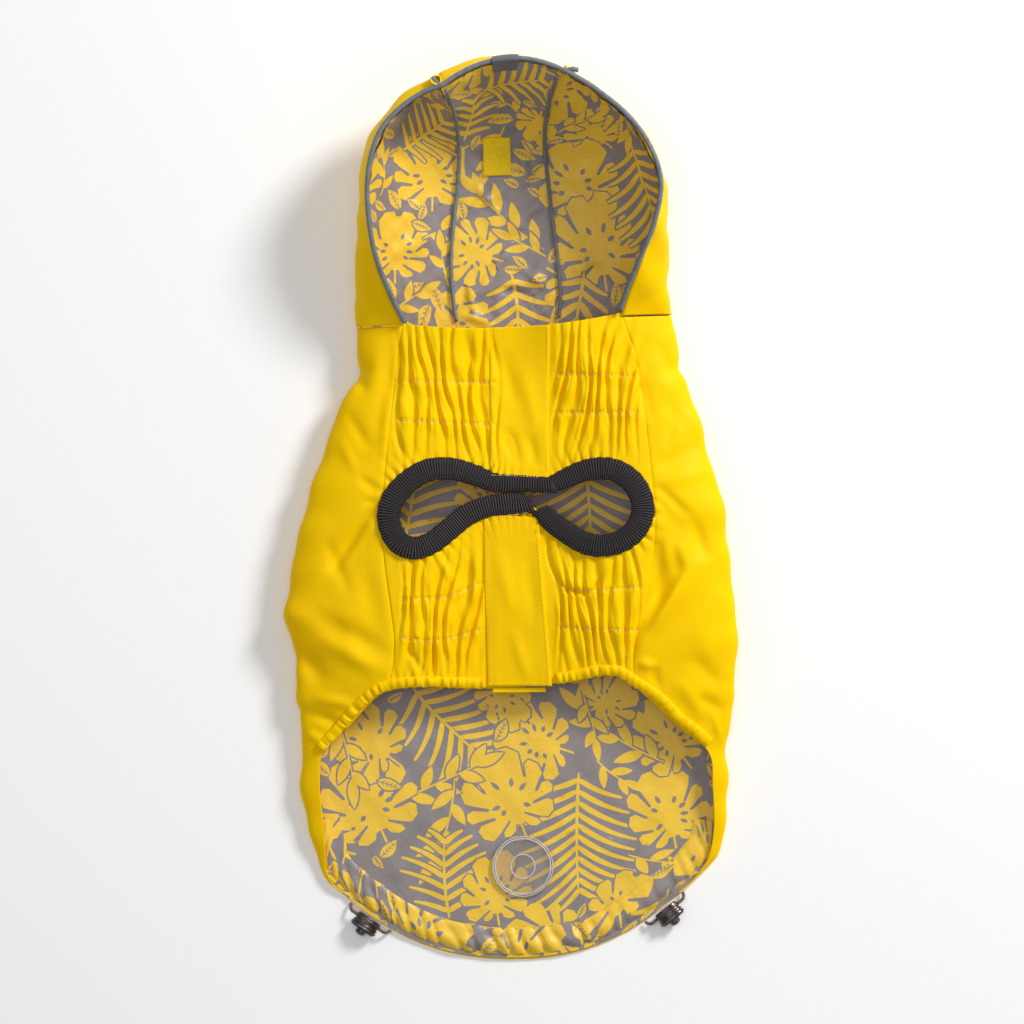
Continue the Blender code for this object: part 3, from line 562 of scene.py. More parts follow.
def place(piece, slot, *replaced):
    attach(piece, coatBody)
    if replaced:
        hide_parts(*replaced)
    return piece


# light, camera and floor

studio = {"frameWidth": 0.6144, "cameraHeight": 4.0, "middle": (0.0, -0.0015), "sensor": 36.0}


def areaLight(name, location, target, size, power, colour=(1, 1, 1)):
    data = bpy.data.lights.new(name, "AREA")
    data.shape = "DISK"
    data.size = size
    data.energy = power
    data.color = colour
    lamp = bpy.data.objects.new(name, data)
    lamp.location = location
    lamp.rotation_euler = (Vector(target) - Vector(location)).to_track_quat("-Z", "Y").to_euler()
    bpy.context.scene.collection.objects.link(lamp)


def makeStudio():
    v = studio
    bpy.ops.object.select_all(action="DESELECT")
    bpy.ops.mesh.primitive_plane_add(size=8, location=(0, 0, -0.0006))
    floor = bpy.context.active_object
    floor.name = "floor"
    bpy.ops.object.transform_apply(location=True)
    finish, _, _, shader = newMaterial("paleFloor", (0.93, 0.93, 0.93), 0.9, 0, 0.1)
    shader.inputs["Emission Color"].default_value = (1, 1, 1, 1)
    shader.inputs["Emission Strength"].default_value = 0.1
    floor.data.materials.append(finish)
    world = bpy.data.worlds.new("studioWorld")
    world.use_nodes = True
    world.node_tree.nodes["Background"].inputs["Color"].default_value = (1, 1, 1, 1)
    world.node_tree.nodes["Background"].inputs["Strength"].default_value = 0.31
    bpy.context.scene.world = world
    areaLight("keyLight", (1.5, 1.4, 1.35), (0, 0, 0), 0.7, 52)
    areaLight("topLight", (-0.3, 0.2, 2.8), (0, 0, 0), 2.0, 14)
    data = bpy.data.cameras.new("mainCamera")
    data.sensor_width = v["sensor"]
    data.lens = v["sensor"] * v["cameraHeight"] / v["frameWidth"]
    data.clip_end = 20
    camera = bpy.data.objects.new("mainCamera", data)
    camera.location = (*v["middle"], v["cameraHeight"])
    bpy.context.scene.collection.objects.link(camera)
    bpy.context.scene.camera = camera
    bpy.context.scene.view_settings.view_transform = "Standard"


makeStudio()
print("studio")

# cord locks

locks = {
    "left": {"origin": (-84.844, -244.537, 4.7), "out": (-0.5725, -0.8199)},
    "right": {"origin": (91.374, -238.698, 4.7), "out": (0.6225, -0.7826)},
}
# distance from the hem, half length and half height of each disc of a lock's body, with its thickness
lockDiscs = [
    (0.2, 7.4, 4.1, 1.0), (1.6, 8.4, 4.7, 1.6), (3.6, 7.6, 4.0, 1.0), (4.9, 8.2, 4.5, 1.4),
    (6.6, 8.5, 4.7, 1.7), (8.2, 7.6, 4.2, 0.9),
]


def lockMatrix(name):
    row = locks[name]
    turn = Matrix.Rotation(math.atan2(-row["out"][0], row["out"][1]), 4, "Z")
    return Matrix.Translation(Vector(row["origin"]) * mm) @ turn


def roundedDisc(name, distance, long, high, thick, bevel):
    # a stadium-like disc that faces away from the hem
    bpy.ops.mesh.primitive_cylinder_add(
        vertices=64, radius=mm, depth=thick * mm, rotation=(math.pi / 2, 0, 0),
        location=(0, (distance + thick / 2) * mm, 0),
    )
    disc = bpy.context.active_object
    disc.name = name
    disc.scale = (long, high, 1)
    bpy.ops.object.transform_apply(location=True, rotation=True, scale=True)
    soften = disc.modifiers.new("rounded", "BEVEL")
    soften.width, soften.segments, soften.limit_method = bevel * mm, 4, "ANGLE"
    bpy.ops.object.modifier_apply(modifier="rounded")
    return disc


def finishHard(parts, name, finish, matrix):
    bpy.ops.object.select_all(action="DESELECT")
    for part in parts:
        part.select_set(True)
    bpy.context.view_layer.objects.active = parts[0]
    bpy.ops.object.join()
    made = parts[0]
    made.name = name
    made.data.transform(matrix)
    made.data.materials.clear()
    made.data.materials.append(finish)
    made.data.shade_smooth()
    made.data.set_sharp_from_angle(angle=math.radians(42))
    return made


def makeLock(name):
    matrix = lockMatrix(name)
    word = name.capitalize()
    bpy.ops.object.select_all(action="DESELECT")
    discs = [roundedDisc(f"lock{k}", d, long, high, thick, 0.45) for k, (d, long, high, thick) in enumerate(lockDiscs)]
    core = roundedDisc("lockCore", 0.4, 7.5, 3.9, 8.0, 0.4)
    collar = roundedDisc("lockCollar", 8.6, 3.9, 3.6, 0.8, 0.25)
    body = finishHard(discs + [core, collar], "cordLock" + word, gunmetal, matrix)
    place(body, "gunmetal", "cord_lock_" + name)
    stem = roundedDisc("stem", 7.4, 3.2, 3.2, 3.4, 0.2)
    bpy.ops.mesh.primitive_uv_sphere_add(segments=40, ring_count=20, radius=3.2 * mm, location=(0, 10.7 * mm, 0))
    dome = bpy.context.active_object
    dome.scale = (1, 0.56, 1)
    bpy.ops.object.transform_apply(location=True, rotation=True, scale=True)
    plunger = finishHard([stem, dome], "lockPlunger" + word, gunmetal, matrix)
    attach(plunger, "plunger_" + name)
    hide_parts("lock_plunger_" + name)
    angle = np.linspace(0, math.pi / 2, 14)
    half = np.stack([10.8 + 3.4 * np.cos(angle), -0.6 + 3.4 * np.sin(angle), -2.6 * np.cos(angle) ** 1.5], -1)
    line = np.concatenate([half * (-1, 1, 1), [(0, 2.8, 0)], half[::-1]])
    line = np.array([matrix @ Vector(point * mm) / mm for point in line])
    line = smoothLine(line, 0.4)
    run = np.arange(len(line)) * 0.4
    ring = np.tile(circleRing(0.95, 12), (len(line), 1, 1))
    turn = np.arange(12) / 12 * 2 * math.pi
    ring *= (1 + 0.07 * np.sin(4 * turn[None] + run[:, None] * 3.2))[..., None]
    cord = sweep("drawcord" + word, line, ring, [brownCord])
    place(cord, "brown_cord", "drawcord_" + name)


for name in ("left", "right"):
    makeLock(name)
print("cord locks and their cords")

# lines that several pieces follow

trimLines = {
    "left": [
        (25.5, 14.6, 9.4), (5, 15.6, 10.4), (-10, 16.2, 11.4), (-22, 20.5, 12.6), (-36, 24.3, 13.2),
        (-50, 23.4, 13.6), (-62, 16.5, 13.8), (-71, 6, 13.8), (-73.5, -6, 13.8), (-68.5, -18.5, 13.8),
        (-59, -23, 13.8), (-48, -20, 13.4), (-37, -11.5, 13.2), (-27, -3.5, 13), (-16, 1.2, 12.8),
        (-4, 3.3, 13.2), (4, 3.6, 13.0), (11, 3.9, 12.2),
    ],
    "right": [
        (23, 14.9, 9.4), (31, 18.2, 11.5), (42, 22.8, 12.8), (53, 24.6, 13.4), (63, 22.6, 13.6),
        (72, 16, 13.8), (77.5, 5, 13.8), (76.5, -7, 13.8), (69, -16.5, 13.6), (57, -21.3, 13.4),
        (45, -20.5, 13.4), (34.5, -15, 13.2), (25.5, -8.7, 13), (19.5, -3.2, 11.8), (16, 0.4, 10),
    ],
}
hemLine = [
    (-113, -144.5), (-104, -135), (-90, -119), (-76, -108.5), (-55, -105.5), (-15, -106.5),
    (25, -104), (58, -98.5), (72, -105), (88, -116), (98, -126.5), (108, -134), (116, -141.5),
]
chestCut = [
    (-78, 2), (-70, 8), (-62, 16.5), (-50, 23), (-36, 24), (-22, 20.5), (-10, 16.5), (5, 15.8),
    (22, 15.2), (31, 18.2), (42, 22.6), (53, 24.4), (63, 22.5), (72, 16), (80, 6), (86, 2),
]
bellyCut = [
    (-78, -6), (-72, -14), (-66, -20), (-58, -22.6), (-48, -20), (-37, -11.5), (-27, -3.5), (-16, 1),
    (-4, 3.2), (5, 3.4), (14, 0.5), (25, -8.7), (34.5, -15), (45, -20.3), (57, -21), (68, -17), (78, -8),
    (86, -4),
]
hemSmooth = smoothLine(hemLine, 2.0)
trimSmooth = {side: smoothLine(line, 2.0) for side, line in trimLines.items()}

# folds, puckers and gathers of the yellow cloth

# soft creases that come on top of the largest folds: from, to, half width, height
softCreases = [
    (-68, 108, -79, 44, 7, -1.5), (-80, 104, -88, 62, 6, 0.9), (-96, 80, -86, 70, 3.2, -1.8),
    (-73, 72, -77, 30, 3.0, 1.0), (-80.5, 5, -112, -42, 3.2, -1.5), (-79, -2, -104, -40, 2.2, 0.9),
    (-79, 9, -92, 20, 2.5, -0.9), (-80, 7, -89, 2, 1.6, -0.8), (-126, -58, -68, -90, 6, -1.6),
    (-124, -72, -72, -100, 5, 1.2), (-131, -80, -112, -104, 5, -1.4), (-64, -78, -54, -98, 2.2, -1.2),
    (-100, -60, -92, -96, 6, 0.8), (-117, 0, -122, -60, 9, 0.9), (-110, 40, -119, 0, 8, -0.6),
    (-90, -28, -78, -80, 6, -1.0), (-120, -112, -92, -118, 3.4, 1.4), (-124, -122, -100, -128, 3.0, -1.1),
    (-126, -134, -112, -138, 2.4, 1.0),
    (76, 82, 83, 52, 3.6, -1.2), (80, 98, 100, 62, 6, 0.9), (92, 70, 114, 32, 6, -1.2),
    (86, 24, 114, 40, 5, -1.2), (85, 14, 118, 24, 4, 0.9), (84, 16, 110, -8, 3.0, -1.3),
    (108, -4, 116, -32, 4.2, -2.2), (85, 7, 94, -2, 1.6, -0.9), (86, -10, 87, -62, 4.0, -1.7),
    (99, -18, 104, -36, 3.2, 1.2), (90, -14, 96, -46, 3.0, 0.8), (106, -86, 127, -108, 5, -1.4),
    (112, -58, 118, -100, 8, 0.8), (76, -90, 84, -95, 2.6, 1.6), (84, -93, 87, -108, 2.0, -1.6),
    (98, -100, 118, -128, 4.5, 1.1), (110, -112, 128, -120, 3.4, -1.1), (88, 100, 96, 76, 3, -0.8),
    (119, -118, 126, -140, 2.6, 1.0), (120, 0, 127, -60, 7, -0.7),
    (-46, -78, -47, -104, 1.6, -1.8),
    (-27, -30, -28, -50, 1.6, -1.5), (36, -20, 40, -36, 2.0, -0.8), (-56, -28, -62, -46, 2.4, -0.9),
    (-44, -27, -36, -44, 2.2, 0.9),
    (110, -28, 72, -93, 3.2, 1.5), (107, -31, 71, -90, 2.2, 1.3), (101, -28, 66, -86, 5.0, -1.5), 
    (-30, 106, -22, 84, 2.6, -0.9), (-52, 104, -48, 82, 2.8, -0.9),
    (-40, 100, -36, 80, 2.0, 0.7), (36, 106, 32, 86, 2.4, -0.8), (54, 106, 56, 84, 2.6, -0.9),
    (46, 102, 46, 84, 2.0, 0.7),
    (-100, 60, -84, 34, 3.4, -1.1), (-104, 44, -92, 20, 3.0, 0.9), (98, 62, 92, 36, 3.4, -1.0),
    (-112, -16, -96, -52, 3.2, -1.0),
]

# rows of elastic thread: each block has an upper and a lower row, as (x, y) from left to right
gatherBlocks = [
    {"upper": [(-63, 76.5), (-7, 75.5)], "lower": [(-71, 53.5), (-8, 50.5)], "pitch": 7.4,
     "slant": 0.10, "seed": 0.4, "above": 31},
    {"upper": [(24, 81), (73, 80)], "lower": [(25, 57.5), (77, 58)], "pitch": 7.0,
     "slant": -0.12, "seed": 2.1, "above": 29},
    {"upper": [(-67, -54), (-38, -52), (-19, -44)], "lower": [(-67, -77), (-42, -78), (-16, -71)],
     "pitch": 7.8, "slant": -0.10, "seed": 3.6, "above": 20},
    {"upper": [(29, -48.6), (50, -48.4), (77, -46)], "lower": [(26, -70.3), (78, -72.2)],
     "pitch": 6.8, "slant": 0.08, "seed": 5.2, "above": 20},
]
gather = {"fold": 2.2, "tight": 0.34, "tightPitch": 3.3, "groove": 0.5, "below": 20.0, "fade": 5.0}
folds = {
    "crease": 1.6, "wave": 1.4, "trim": 0.95, "trimPitch": 5.2, "trimReach": 5.5, "trimHalf": 6.2,
    "hem": 1.5, "hemPitch": 8.6, "hemReach": 10.0, "hemFine": 0.55, "hemFinePitch": 4.7, "hemFineReach": 4.0,
}


def narrowValleys(phase):
    # round ridges with narrow creases between them, from -1 to 1
    return 1 - 2 * (0.5 + 0.5 * np.cos(phase)) ** 2.6


def gatherRelief(x, y):
    total = np.zeros(np.shape(x))
    for block in gatherBlocks:
        upper, lower = np.array(block["upper"], float), np.array(block["lower"], float)
        yUpper, yLower = np.interp(x, *upper.T), np.interp(x, *lower.T)
        seed = block["seed"]
        left, right = min(upper[0, 0], lower[0, 0]), max(upper[-1, 0], lower[-1, 0])
        across = smoothStep(left - 2, left + gather["fade"], x) * (1 - smoothStep(right - gather["fade"], right + 3, x))
        above, below = np.maximum(y - yUpper, 0), np.maximum(yLower - y, 0)
        reach = np.exp(-((above / block["above"]) ** 2)) * np.exp(-((below / gather["below"]) ** 2))
        wander = 2.3 * np.sin(0.115 * x + 0.06 * y + seed) + 1.1 * np.sin(0.29 * x - 0.085 * y + 2 * seed)
        phase = 2 * math.pi * (x + wander + block["slant"] * (y - yLower)) / block["pitch"]
        uneven = 0.66 + 0.34 * np.sin(0.23 * x + 0.14 * y + 3 * seed) * np.sin(0.11 * x - 0.19 * y + seed)
        total += gather["fold"] * uneven * reach * across * narrowValleys(phase)
        total += 0.22 * reach * across * narrowValleys(phase * 1.83 + 1.1 * np.sin(0.2 * y + seed))
        for rowY in (yUpper, yLower):
            off = y - rowY
            tight = np.exp(-((off / 2.6) ** 2))
            crimp = np.sin(2 * math.pi * (x + 0.7 * np.sin(0.9 * x + seed)) / gather["tightPitch"] + 0.5 * off)
            total += across * (gather["tight"] * tight * crimp - gather["groove"] * np.exp(-((off / 1.1) ** 2)))
    return total


def trimPull(x, y):
    # small gathers where the elastic trims pull the cloth
    total = np.zeros(np.shape(x))
    for side, line in trimSmooth.items():
        distance, _, along = nearLine(x, y, line)
        off = np.maximum(distance - folds["trimHalf"], 0)
        strength = 0.55 + 0.45 * np.sin(along * 0.11 + len(side))
        fold = narrowValleys(2 * math.pi * along / folds["trimPitch"] + 0.9 * np.sin(along * 0.21))
        total += folds["trim"] * strength * np.exp(-off / folds["trimReach"]) * fold
    return total


def hemGather(x, y):
    # the belly hem's elastic gathers the cloth above it
    distance, _, along = nearLine(x, y, hemSmooth)
    wander = 1.5 * np.sin(along * 0.085 + 1.0) + 0.8 * np.sin(along * 0.23)
    fold = narrowValleys(2 * math.pi * (along + wander) / folds["hemPitch"])
    fine = narrowValleys(2 * math.pi * (along + wander) / folds["hemFinePitch"] + 1.3)
    strength = 0.6 + 0.4 * np.sin(along * 0.07 + 2.0)
    middle = np.exp(-(((x - 4) / 20) ** 4))
    uneven = 0.75 + 0.45 * np.sin(0.17 * x + 0.21 * y + 1.3) * np.sin(0.09 * x - 0.13 * y)
    long = folds["hem"] * np.exp(-distance / folds["hemReach"])
    short = folds["hemFine"] * np.exp(-distance / folds["hemFineReach"])
    return (1 - 0.9 * middle) * uneven * (long * strength * fold + short * fine)


pocket = {"depth": 1.5, "width": 1.2, "bulge": 1.1}
pocketLine = smoothLine([(20.7, -14), (22.2, -30.5), (28.5, -43.5), (35.7, -48.5), (46.7, -49.7), (53, -40)], 2.0)


def pocketCrease(x, y):
    # a deep rounded crease below the right leg opening, full on its inner side
    v = pocket
    distance, side, along = nearLine(x, y, pocketLine)
    last = 2.0 * (len(pocketLine) - 1)
    inside = side > 0
    ends = smoothStep(-1, 8, along) * (1 - smoothStep(last - 8, last + 1, along))
    sunk = v["depth"] * np.exp(-((distance / v["width"]) ** 2))
    full = v["bulge"] * np.exp(-(((distance - 4.5) / 3.5) ** 2)) * inside
    return ends * (full - sunk)


def slowWaves(x, y):
    return (
        0.35 * np.sin(0.061 * x + 0.043 * y + 0.5) * np.sin(0.038 * y - 0.027 * x)
        + 0.22 * np.sin(0.12 * x - 0.07 * y + 2.0) * np.sin(0.09 * y + 1.0)
    )


def upperRelief(x, y):
    # all that rises or sinks on the coat's upper side, besides its largest folds
    creased = folds["crease"] * sum(ridge(x, y, *crease) for crease in softCreases)
    gathered = gatherRelief(x, y) + trimPull(x, y) + hemGather(x, y)
    return creased + pocketCrease(x, y) + folds["wave"] * slowWaves(x, y) + gathered


def upperPoint(x, y, lift=0.0, relief=1.0):
    z = topHeight(x, y) + relief * upperRelief(x, y) + lift
    return np.stack([x, y, z], -1)


# back shell

backShell = {"rows": 230, "armColumns": 78, "floorColumns": 22, "thickness": 0.9, "edgeRoll": 1.1,
             "ripple": 0.9, "fineRipple": 0.45}
# creases of the upright sides: from, to, half width, height
sideCreases = [
    (-140, 72, -80, 84, 5, -3.0), (80, 80, 140, 92, 5, -2.4), (-150, -88, -100, -92, 7, -2.2),
    (-145, -118, -105, -124, 4, -1.6), (105, -100, 150, -108, 6, -1.2), (-150, -60, -105, -66, 7, 1.2),
]


def shellGrid(rows, armColumns, floorColumns, edgeShift=0.0):
    section = sectionAt(np.linspace(neckY, tailY, rows)[:, None])
    parts = []
    for side, reachName, foldName, edgeName in ((-1, "reachL", "foldL", "edgeL"), (1, "reachR", "foldR", "edgeR")):
        reach, fold, edge = section[reachName], section[foldName], section[edgeName] + edgeShift
        last = math.pi - np.arcsin(np.clip((edge - fold) / (reach - fold), 0, 1))
        share = np.linspace(0, 1, armColumns)[None]
        angle = last * share
        x = side * (fold + (reach - fold) * np.sin(angle))
        y = sectionY(section, x)
        onTop = np.maximum(0, -np.cos(angle))
        creased = sum(ridge(x, y, *crease) for crease in bigFolds)
        z = section["loft"] * (1 - np.cos(angle)) + creased * onTop
        parts.append((np.stack([x, y, z], -1), onTop, angle))
    (left, leftTop, leftAngle), (right, rightTop, rightAngle) = parts
    x = -section["foldL"] + (section["foldR"] + section["foldL"]) * np.linspace(0, 1, floorColumns + 2)[None, 1:-1]
    floor = np.stack([x, sectionY(section, x), 0 * x], -1)
    grid = np.concatenate([left[:, ::-1], floor, right], 1)
    top = np.concatenate([leftTop[:, ::-1], np.zeros((rows, floorColumns)), rightTop], 1)
    angle = np.concatenate([leftAngle[:, ::-1], np.zeros((rows, floorColumns)), rightAngle], 1)
    return grid, top, angle


def makeBackShell():
    v = backShell
    grid, top, angle = shellGrid(v["rows"], v["armColumns"], v["floorColumns"], -1.0)
    x, y = grid[..., 0], grid[..., 1]
    relief = upperRelief(x, y)
    normal = gridNormals(grid, 1)
    # the sides ripple a little, the floor stays flat
    upright = np.sin(np.clip(angle, 0, math.pi)) ** 2
    ripple = v["ripple"] * np.sin(0.105 * y + 0.8 * np.sign(x)) * np.sin(0.047 * y + 1.2)
    ripple += v["fineRipple"] * np.sin(0.24 * y + 2 * np.sign(x))
    ripple += sum(ridge(x, y, *crease) for crease in sideCreases)
    grid = grid + normal * (ripple * upright)[..., None]
    grid[..., 2] += relief * top
    # along the fronts the edge rolls down into the seam
    columns = np.arange(grid.shape[1])
    fromEdge = np.minimum(columns, columns[::-1])[None]
    grid[..., 2] -= v["edgeRoll"] * np.exp(-fromEdge / 0.4) * smoothStep(-104, -96, y)
    grid[..., 2] = np.maximum(grid[..., 2], 0.0)
    piece = clothWall("shellBack", grid, v["thickness"], 1, [yellow, printYellow], (0, 0))
    return place(piece, "coated_yellow", "back_shell")


makeBackShell()
print("back shell")

# the two fronts above the legs and the two below

fronts = {"spacing": 0.72, "thickness": 0.8, "seamTuck": 1.2, "tuckWidth": 0.55, "overlap": 0.6, "middle": 4.5}
straightSideBelow = -94.0


def neckline(x):
    return 108.4 + 0.0504 * x + 5.6 * (x / 65) ** 2


def sideEdge(side, y):
    seam = sideNumbers(sectionThrough(np.full(np.shape(y), side * 70.0), y), np.full(np.shape(y), side * 1.0))[2]
    return side * np.where(y < straightSideBelow, np.minimum(seam, 74.5), seam)


def lineY(points, x):
    table = np.array(points, float)
    return readTable(table, x)[..., 1]


def frontGrid(xFirst, xLast, yFirst, yLast, columns, rows):
    u, v = np.meshgrid(np.linspace(0, 1, columns), np.linspace(0, 1, rows))
    y = np.zeros(u.shape)
    for _ in range(6):
        x = xFirst(y) * (1 - u) + xLast(y) * u
        y = yFirst(x) * (1 - v) + yLast(x) * v
    return x, y


def makeFront(name, side, first, last, node):
    v = fronts
    def middle(y):
        return np.full(np.shape(y), v["middle"] + side * 0.05)
    def edge(y):
        return sideEdge(side, y) + side * v["overlap"]
    sides = (edge, middle) if side < 0 else (middle, edge)
    x, y = frontGrid(*sides, first, last, int(82 / v["spacing"]), int(104 / v["spacing"]))
    grid = upperPoint(x, y)
    # the side edge dips under the shell's edge, so the seam shows as a soft groove
    off = np.abs(edge(y) - x)
    grid[..., 2] -= v["seamTuck"] * np.exp(-off / v["tuckWidth"]) * smoothStep(-112, -96, y)
    piece = clothWall(name, grid, v["thickness"], -1, [yellow, printYellow], (0, 1))
    return place(piece, "coated_yellow", node)


for side, word in ((-1, "Left"), (1, "Right")):
    low = word.lower()
    makeFront("chest" + word, side, neckline, lambda x: lineY(chestCut, x), "chest_" + low)
    makeFront("belly" + word, side, lambda x: lineY(bellyCut, x), lambda x: lineY(hemLine, x), "belly_" + low)
print("fronts")

# plackets over the middle of the front

placketTable = [
    {"name": "placketUpper", "node": "placket_upper", "left": (-13, -13), "right": (22.5, 22.0),
     "top": (108.3, 109.9), "bottom": (20.0, 18.8), "lift": 1.5},
    {"name": "placketLower", "node": "placket_lower", "left": (-17, -14.5), "right": (16, 24),
     "top": (-3.2, -4.6), "bottom": (-105.5, -105.5), "lift": 1.5},
    {"name": "placketUnderlap", "node": "placket_underlap", "left": (-11.5, -11.5), "right": (20, 20),
     "top": (-106.4, -106.4), "bottom": (-109.4, -109.0), "lift": -0.3},
]
placketRelief = [
    (-6, 96, 2, 60, 4.5, -0.7), (6, 88, 16, 40, 5, 0.7), (-4, 50, 4, 26, 4, -0.9), (10, 46, 14, 24, 3.5, -0.8),
    (-8, -22, 0, -64, 4.5, 0.7), (8, -20, 14, -70, 5, -0.6), (0, -70, 10, -104, 4, 0.6),
]


def straight(start, end, first, last):
    return lambda at: start + (end - start) * (at - first) / (last - first)


def makePlacket(v):
    left, right, top, bottom = v["left"], v["right"], v["top"], v["bottom"]
    sides = [straight(edge[0], edge[1], top[0], bottom[0]) for edge in (left, right)]
    ends = [straight(end[0], end[1], left[0], right[0]) for end in (top, bottom)]
    height = abs(top[0] - bottom[0])
    x, y = frontGrid(*sides, *ends, 56, max(10, int(height / 0.8)))
    # it follows the gathers near its left edge, and is smoother over its own stiff middle
    inward = smoothStep(left[0], left[0] + 12, x) * (1 - smoothStep(right[0] - 4, right[0] + 1, x))
    lift = v["lift"] * (0.3 + 0.7 * smoothStep(left[0], left[0] + 9, x)) if height > 20 else v["lift"]
    soft = sum(ridge(x, y, *crease) for crease in placketRelief)
    grid = upperPoint(x, y, lift, 1 - 0.7 * inward)
    grid[..., 2] += 1.8 * soft * (height > 20)
    edge = np.minimum(np.abs(x - sides[0](y)), np.abs(x - sides[1](y)))
    grid[..., 2] -= 0.8 * np.exp(-((edge / 0.7) ** 2)) * (x > (left[0] + right[0]) / 2) * (height > 20)
    piece = clothWall(v["name"], grid, 0.8, -1, [yellow, printYellow], (0, 0))
    return place(piece, "coated_yellow", v["node"])


for row in placketTable:
    makePlacket(row)
print("plackets")

# ribbed trims round the leg openings

trims = {"wall": 2.7, "lift": 0.2, "ribPitch": 1.5, "ribDepth": 0.75, "spacing": 0.21}


def bandSection(width, height, across=21):
    # a flat band with rounded edges and a slightly crowned top, as (side, up) from its lower middle
    share = np.linspace(-1, 1, across)
    crown = height * (1 - 0.16 * share**2) * np.clip(1 - np.abs(share) ** 14, 0, 1) ** 0.5
    top = np.stack([share * width / 2, crown], -1)
    bottom = np.stack([share[::-1][1:-1] * width / 2 * 0.97, 0 * share[1:-1]], -1)
    return np.concatenate([top, bottom])[::-1]


def makeTrim(name, side, endTurn):
    v = trims
    line = smoothLine(trimLines[side], v["spacing"])
    x, y, width = line.T
    # the ends are cut slanting: the band is shifted in its own direction across its width
    height = topHeight(x, y) + v["lift"] + 0.35 * upperRelief(x, y)
    kernel = np.ones(41) / 41
    height = np.convolve(np.pad(height, 20, mode="edge"), kernel, mode="valid")
    centre = np.stack([x, y, height], -1)
    run = np.arange(len(line)) * v["spacing"]
    rings = []
    tangent = np.gradient(centre[:, :2], axis=0)
    tangent /= np.linalg.norm(tangent, axis=1, keepdims=True)
    for k in range(len(line)):
        ring = bandSection(width[k] + 0.25 * math.sin(run[k] * 1.1) + 0.15 * math.sin(run[k] * 2.9), v["wall"])
        share = ring[:, 0] / (width[k] / 2)
        rib = np.abs(np.sin(math.pi * run[k] / v["ribPitch"])) ** 0.8
        upper = ring[:, 1] > 0.3
        ring[:, 1] += upper * (rib - 0.7) * v["ribDepth"] * (1 - 0.75 * np.abs(share) ** 8)
        # a stitched line runs along each border
        ring[:, 1] -= upper * 0.55 * np.exp(-(((np.abs(share) - 0.74) / 0.07) ** 2))
        ring[:, 0] += np.sign(ring[:, 0]) * (rib - 0.6) * 0.3 * (np.abs(share) > 0.9)
        rings.append(ring)
    rings = np.array(rings)
    aside = np.stack([tangent[:, 1], -tangent[:, 0]], -1)
    points = np.empty((len(line), rings.shape[1], 3))
    points[..., :2] = centre[:, None, :2] + aside[:, None] * rings[..., :1]
    # the two ends fold over at a slant
    for end, turn in ((0, endTurn[0]), (-1, endTurn[1])):
        direction = tangent[end] * (1 if end == -1 else -1)
        near = np.exp(-((run if end == 0 else run[-1] - run) / 5.0))
        points[..., :2] += (near[:, None] * rings[..., 0] * turn)[..., None] * direction
    # it lies on the curved front right across its width
    baseX, baseY = points[..., 0], points[..., 1]
    sunk = topHeight(baseX, baseY) - topHeight(x, y)[:, None]
    points[..., 2] = centre[:, None, 2] + 0.75 * sunk + rings[..., 1]
    rows, columns = points.shape[:2]
    faces = [tuple(face) for face in gridFaces(rows, columns, closed=True)]
    faces += [tuple(range(columns - 1, -1, -1)), tuple(range((rows - 1) * columns, rows * columns))]
    acrossRun = rings[..., 0]
    flat = np.stack([acrossRun, np.broadcast_to(run[:, None], acrossRun.shape)], -1).reshape(-1, 2)
    cuts[name] = (float(width.max()) * mm, float(run[-1]) * mm, float((width * v["spacing"]).sum()) * mm * mm)
    piece = newObject(name, points.reshape(-1, 3), faces, [blackRib], None, flat)
    return place(piece, "black_rib", "leg_trim_" + side)


makeTrim("trimLeft", "left", (-0.35, 0.55))
makeTrim("trimRight", "right", (0.05, -0.35))
print("leg trims")

# the belly hem's elastic casings

casing = {"width": 6.8, "wall": 1.0, "spacing": 0.45, "ruffle": 1.35, "pitch": 6.4, "outside": 0.94, "inside": -0.1}


def makeCasing(name, node, first, last):
    v = casing
    table = np.concatenate([np.arange(len(hemLine))[:, None], np.array(hemLine, float)], 1)
    at = np.linspace(first, last, 900)
    fine = readTable(table, at)[:, 1:]
    run = np.concatenate([[0], np.cumsum(np.hypot(*np.diff(fine, axis=0).T))])
    even = np.linspace(0, run[-1], int(run[-1] / v["spacing"]))
    x, y = np.interp(even, run, fine[:, 0]), np.interp(even, run, fine[:, 1])
    tangent = np.stack([np.gradient(x), np.gradient(y)], -1)
    tangent /= np.linalg.norm(tangent, axis=1, keepdims=True)
    across = np.linspace(v["outside"], v["inside"], 13)[None] * v["width"]
    phase = 2 * math.pi * even / v["pitch"] + 1.5 * np.sin(even * 0.27) + 1.2 * np.sin(even * 0.12 + 1)
    fold = (narrowValleys(phase) * (0.62 + 0.38 * np.sin(even * 0.21 + 2) * np.sin(even * 0.083)))[:, None]
    lower = smoothStep(4.0, 0.0, across)
    across = across + 0.45 * fold * lower
    px = x[:, None] - tangent[:, 1:] * across
    py = y[:, None] + tangent[:, :1] * across
    share = (across / v["width"] - v["inside"]) / (v["outside"] - v["inside"])
    roll = 1.5 * np.sin(math.pi * np.clip(share, 0, 1)) ** 0.7
    swell = v["ruffle"] * fold * (0.35 + 0.65 * np.sin(math.pi * np.clip(share * 0.9 + 0.15, 0, 1)))
    lift = 0.5 + roll + swell * 0.62 - 1.4 * smoothStep(0.85, 1.05, share)
    pz = topHeight(px, py) + lift + 0.45 * upperRelief(px, py)
    grid = np.stack([px, py, pz], -1)
    facing = 1 if np.cross(grid[0, 1] - grid[0, 0], grid[1, 0] - grid[0, 0])[2] > 0 else -1
    piece = clothWall(name, grid, v["wall"], facing, [yellow], (0, 0))
    return place(piece, "coated_yellow", node)


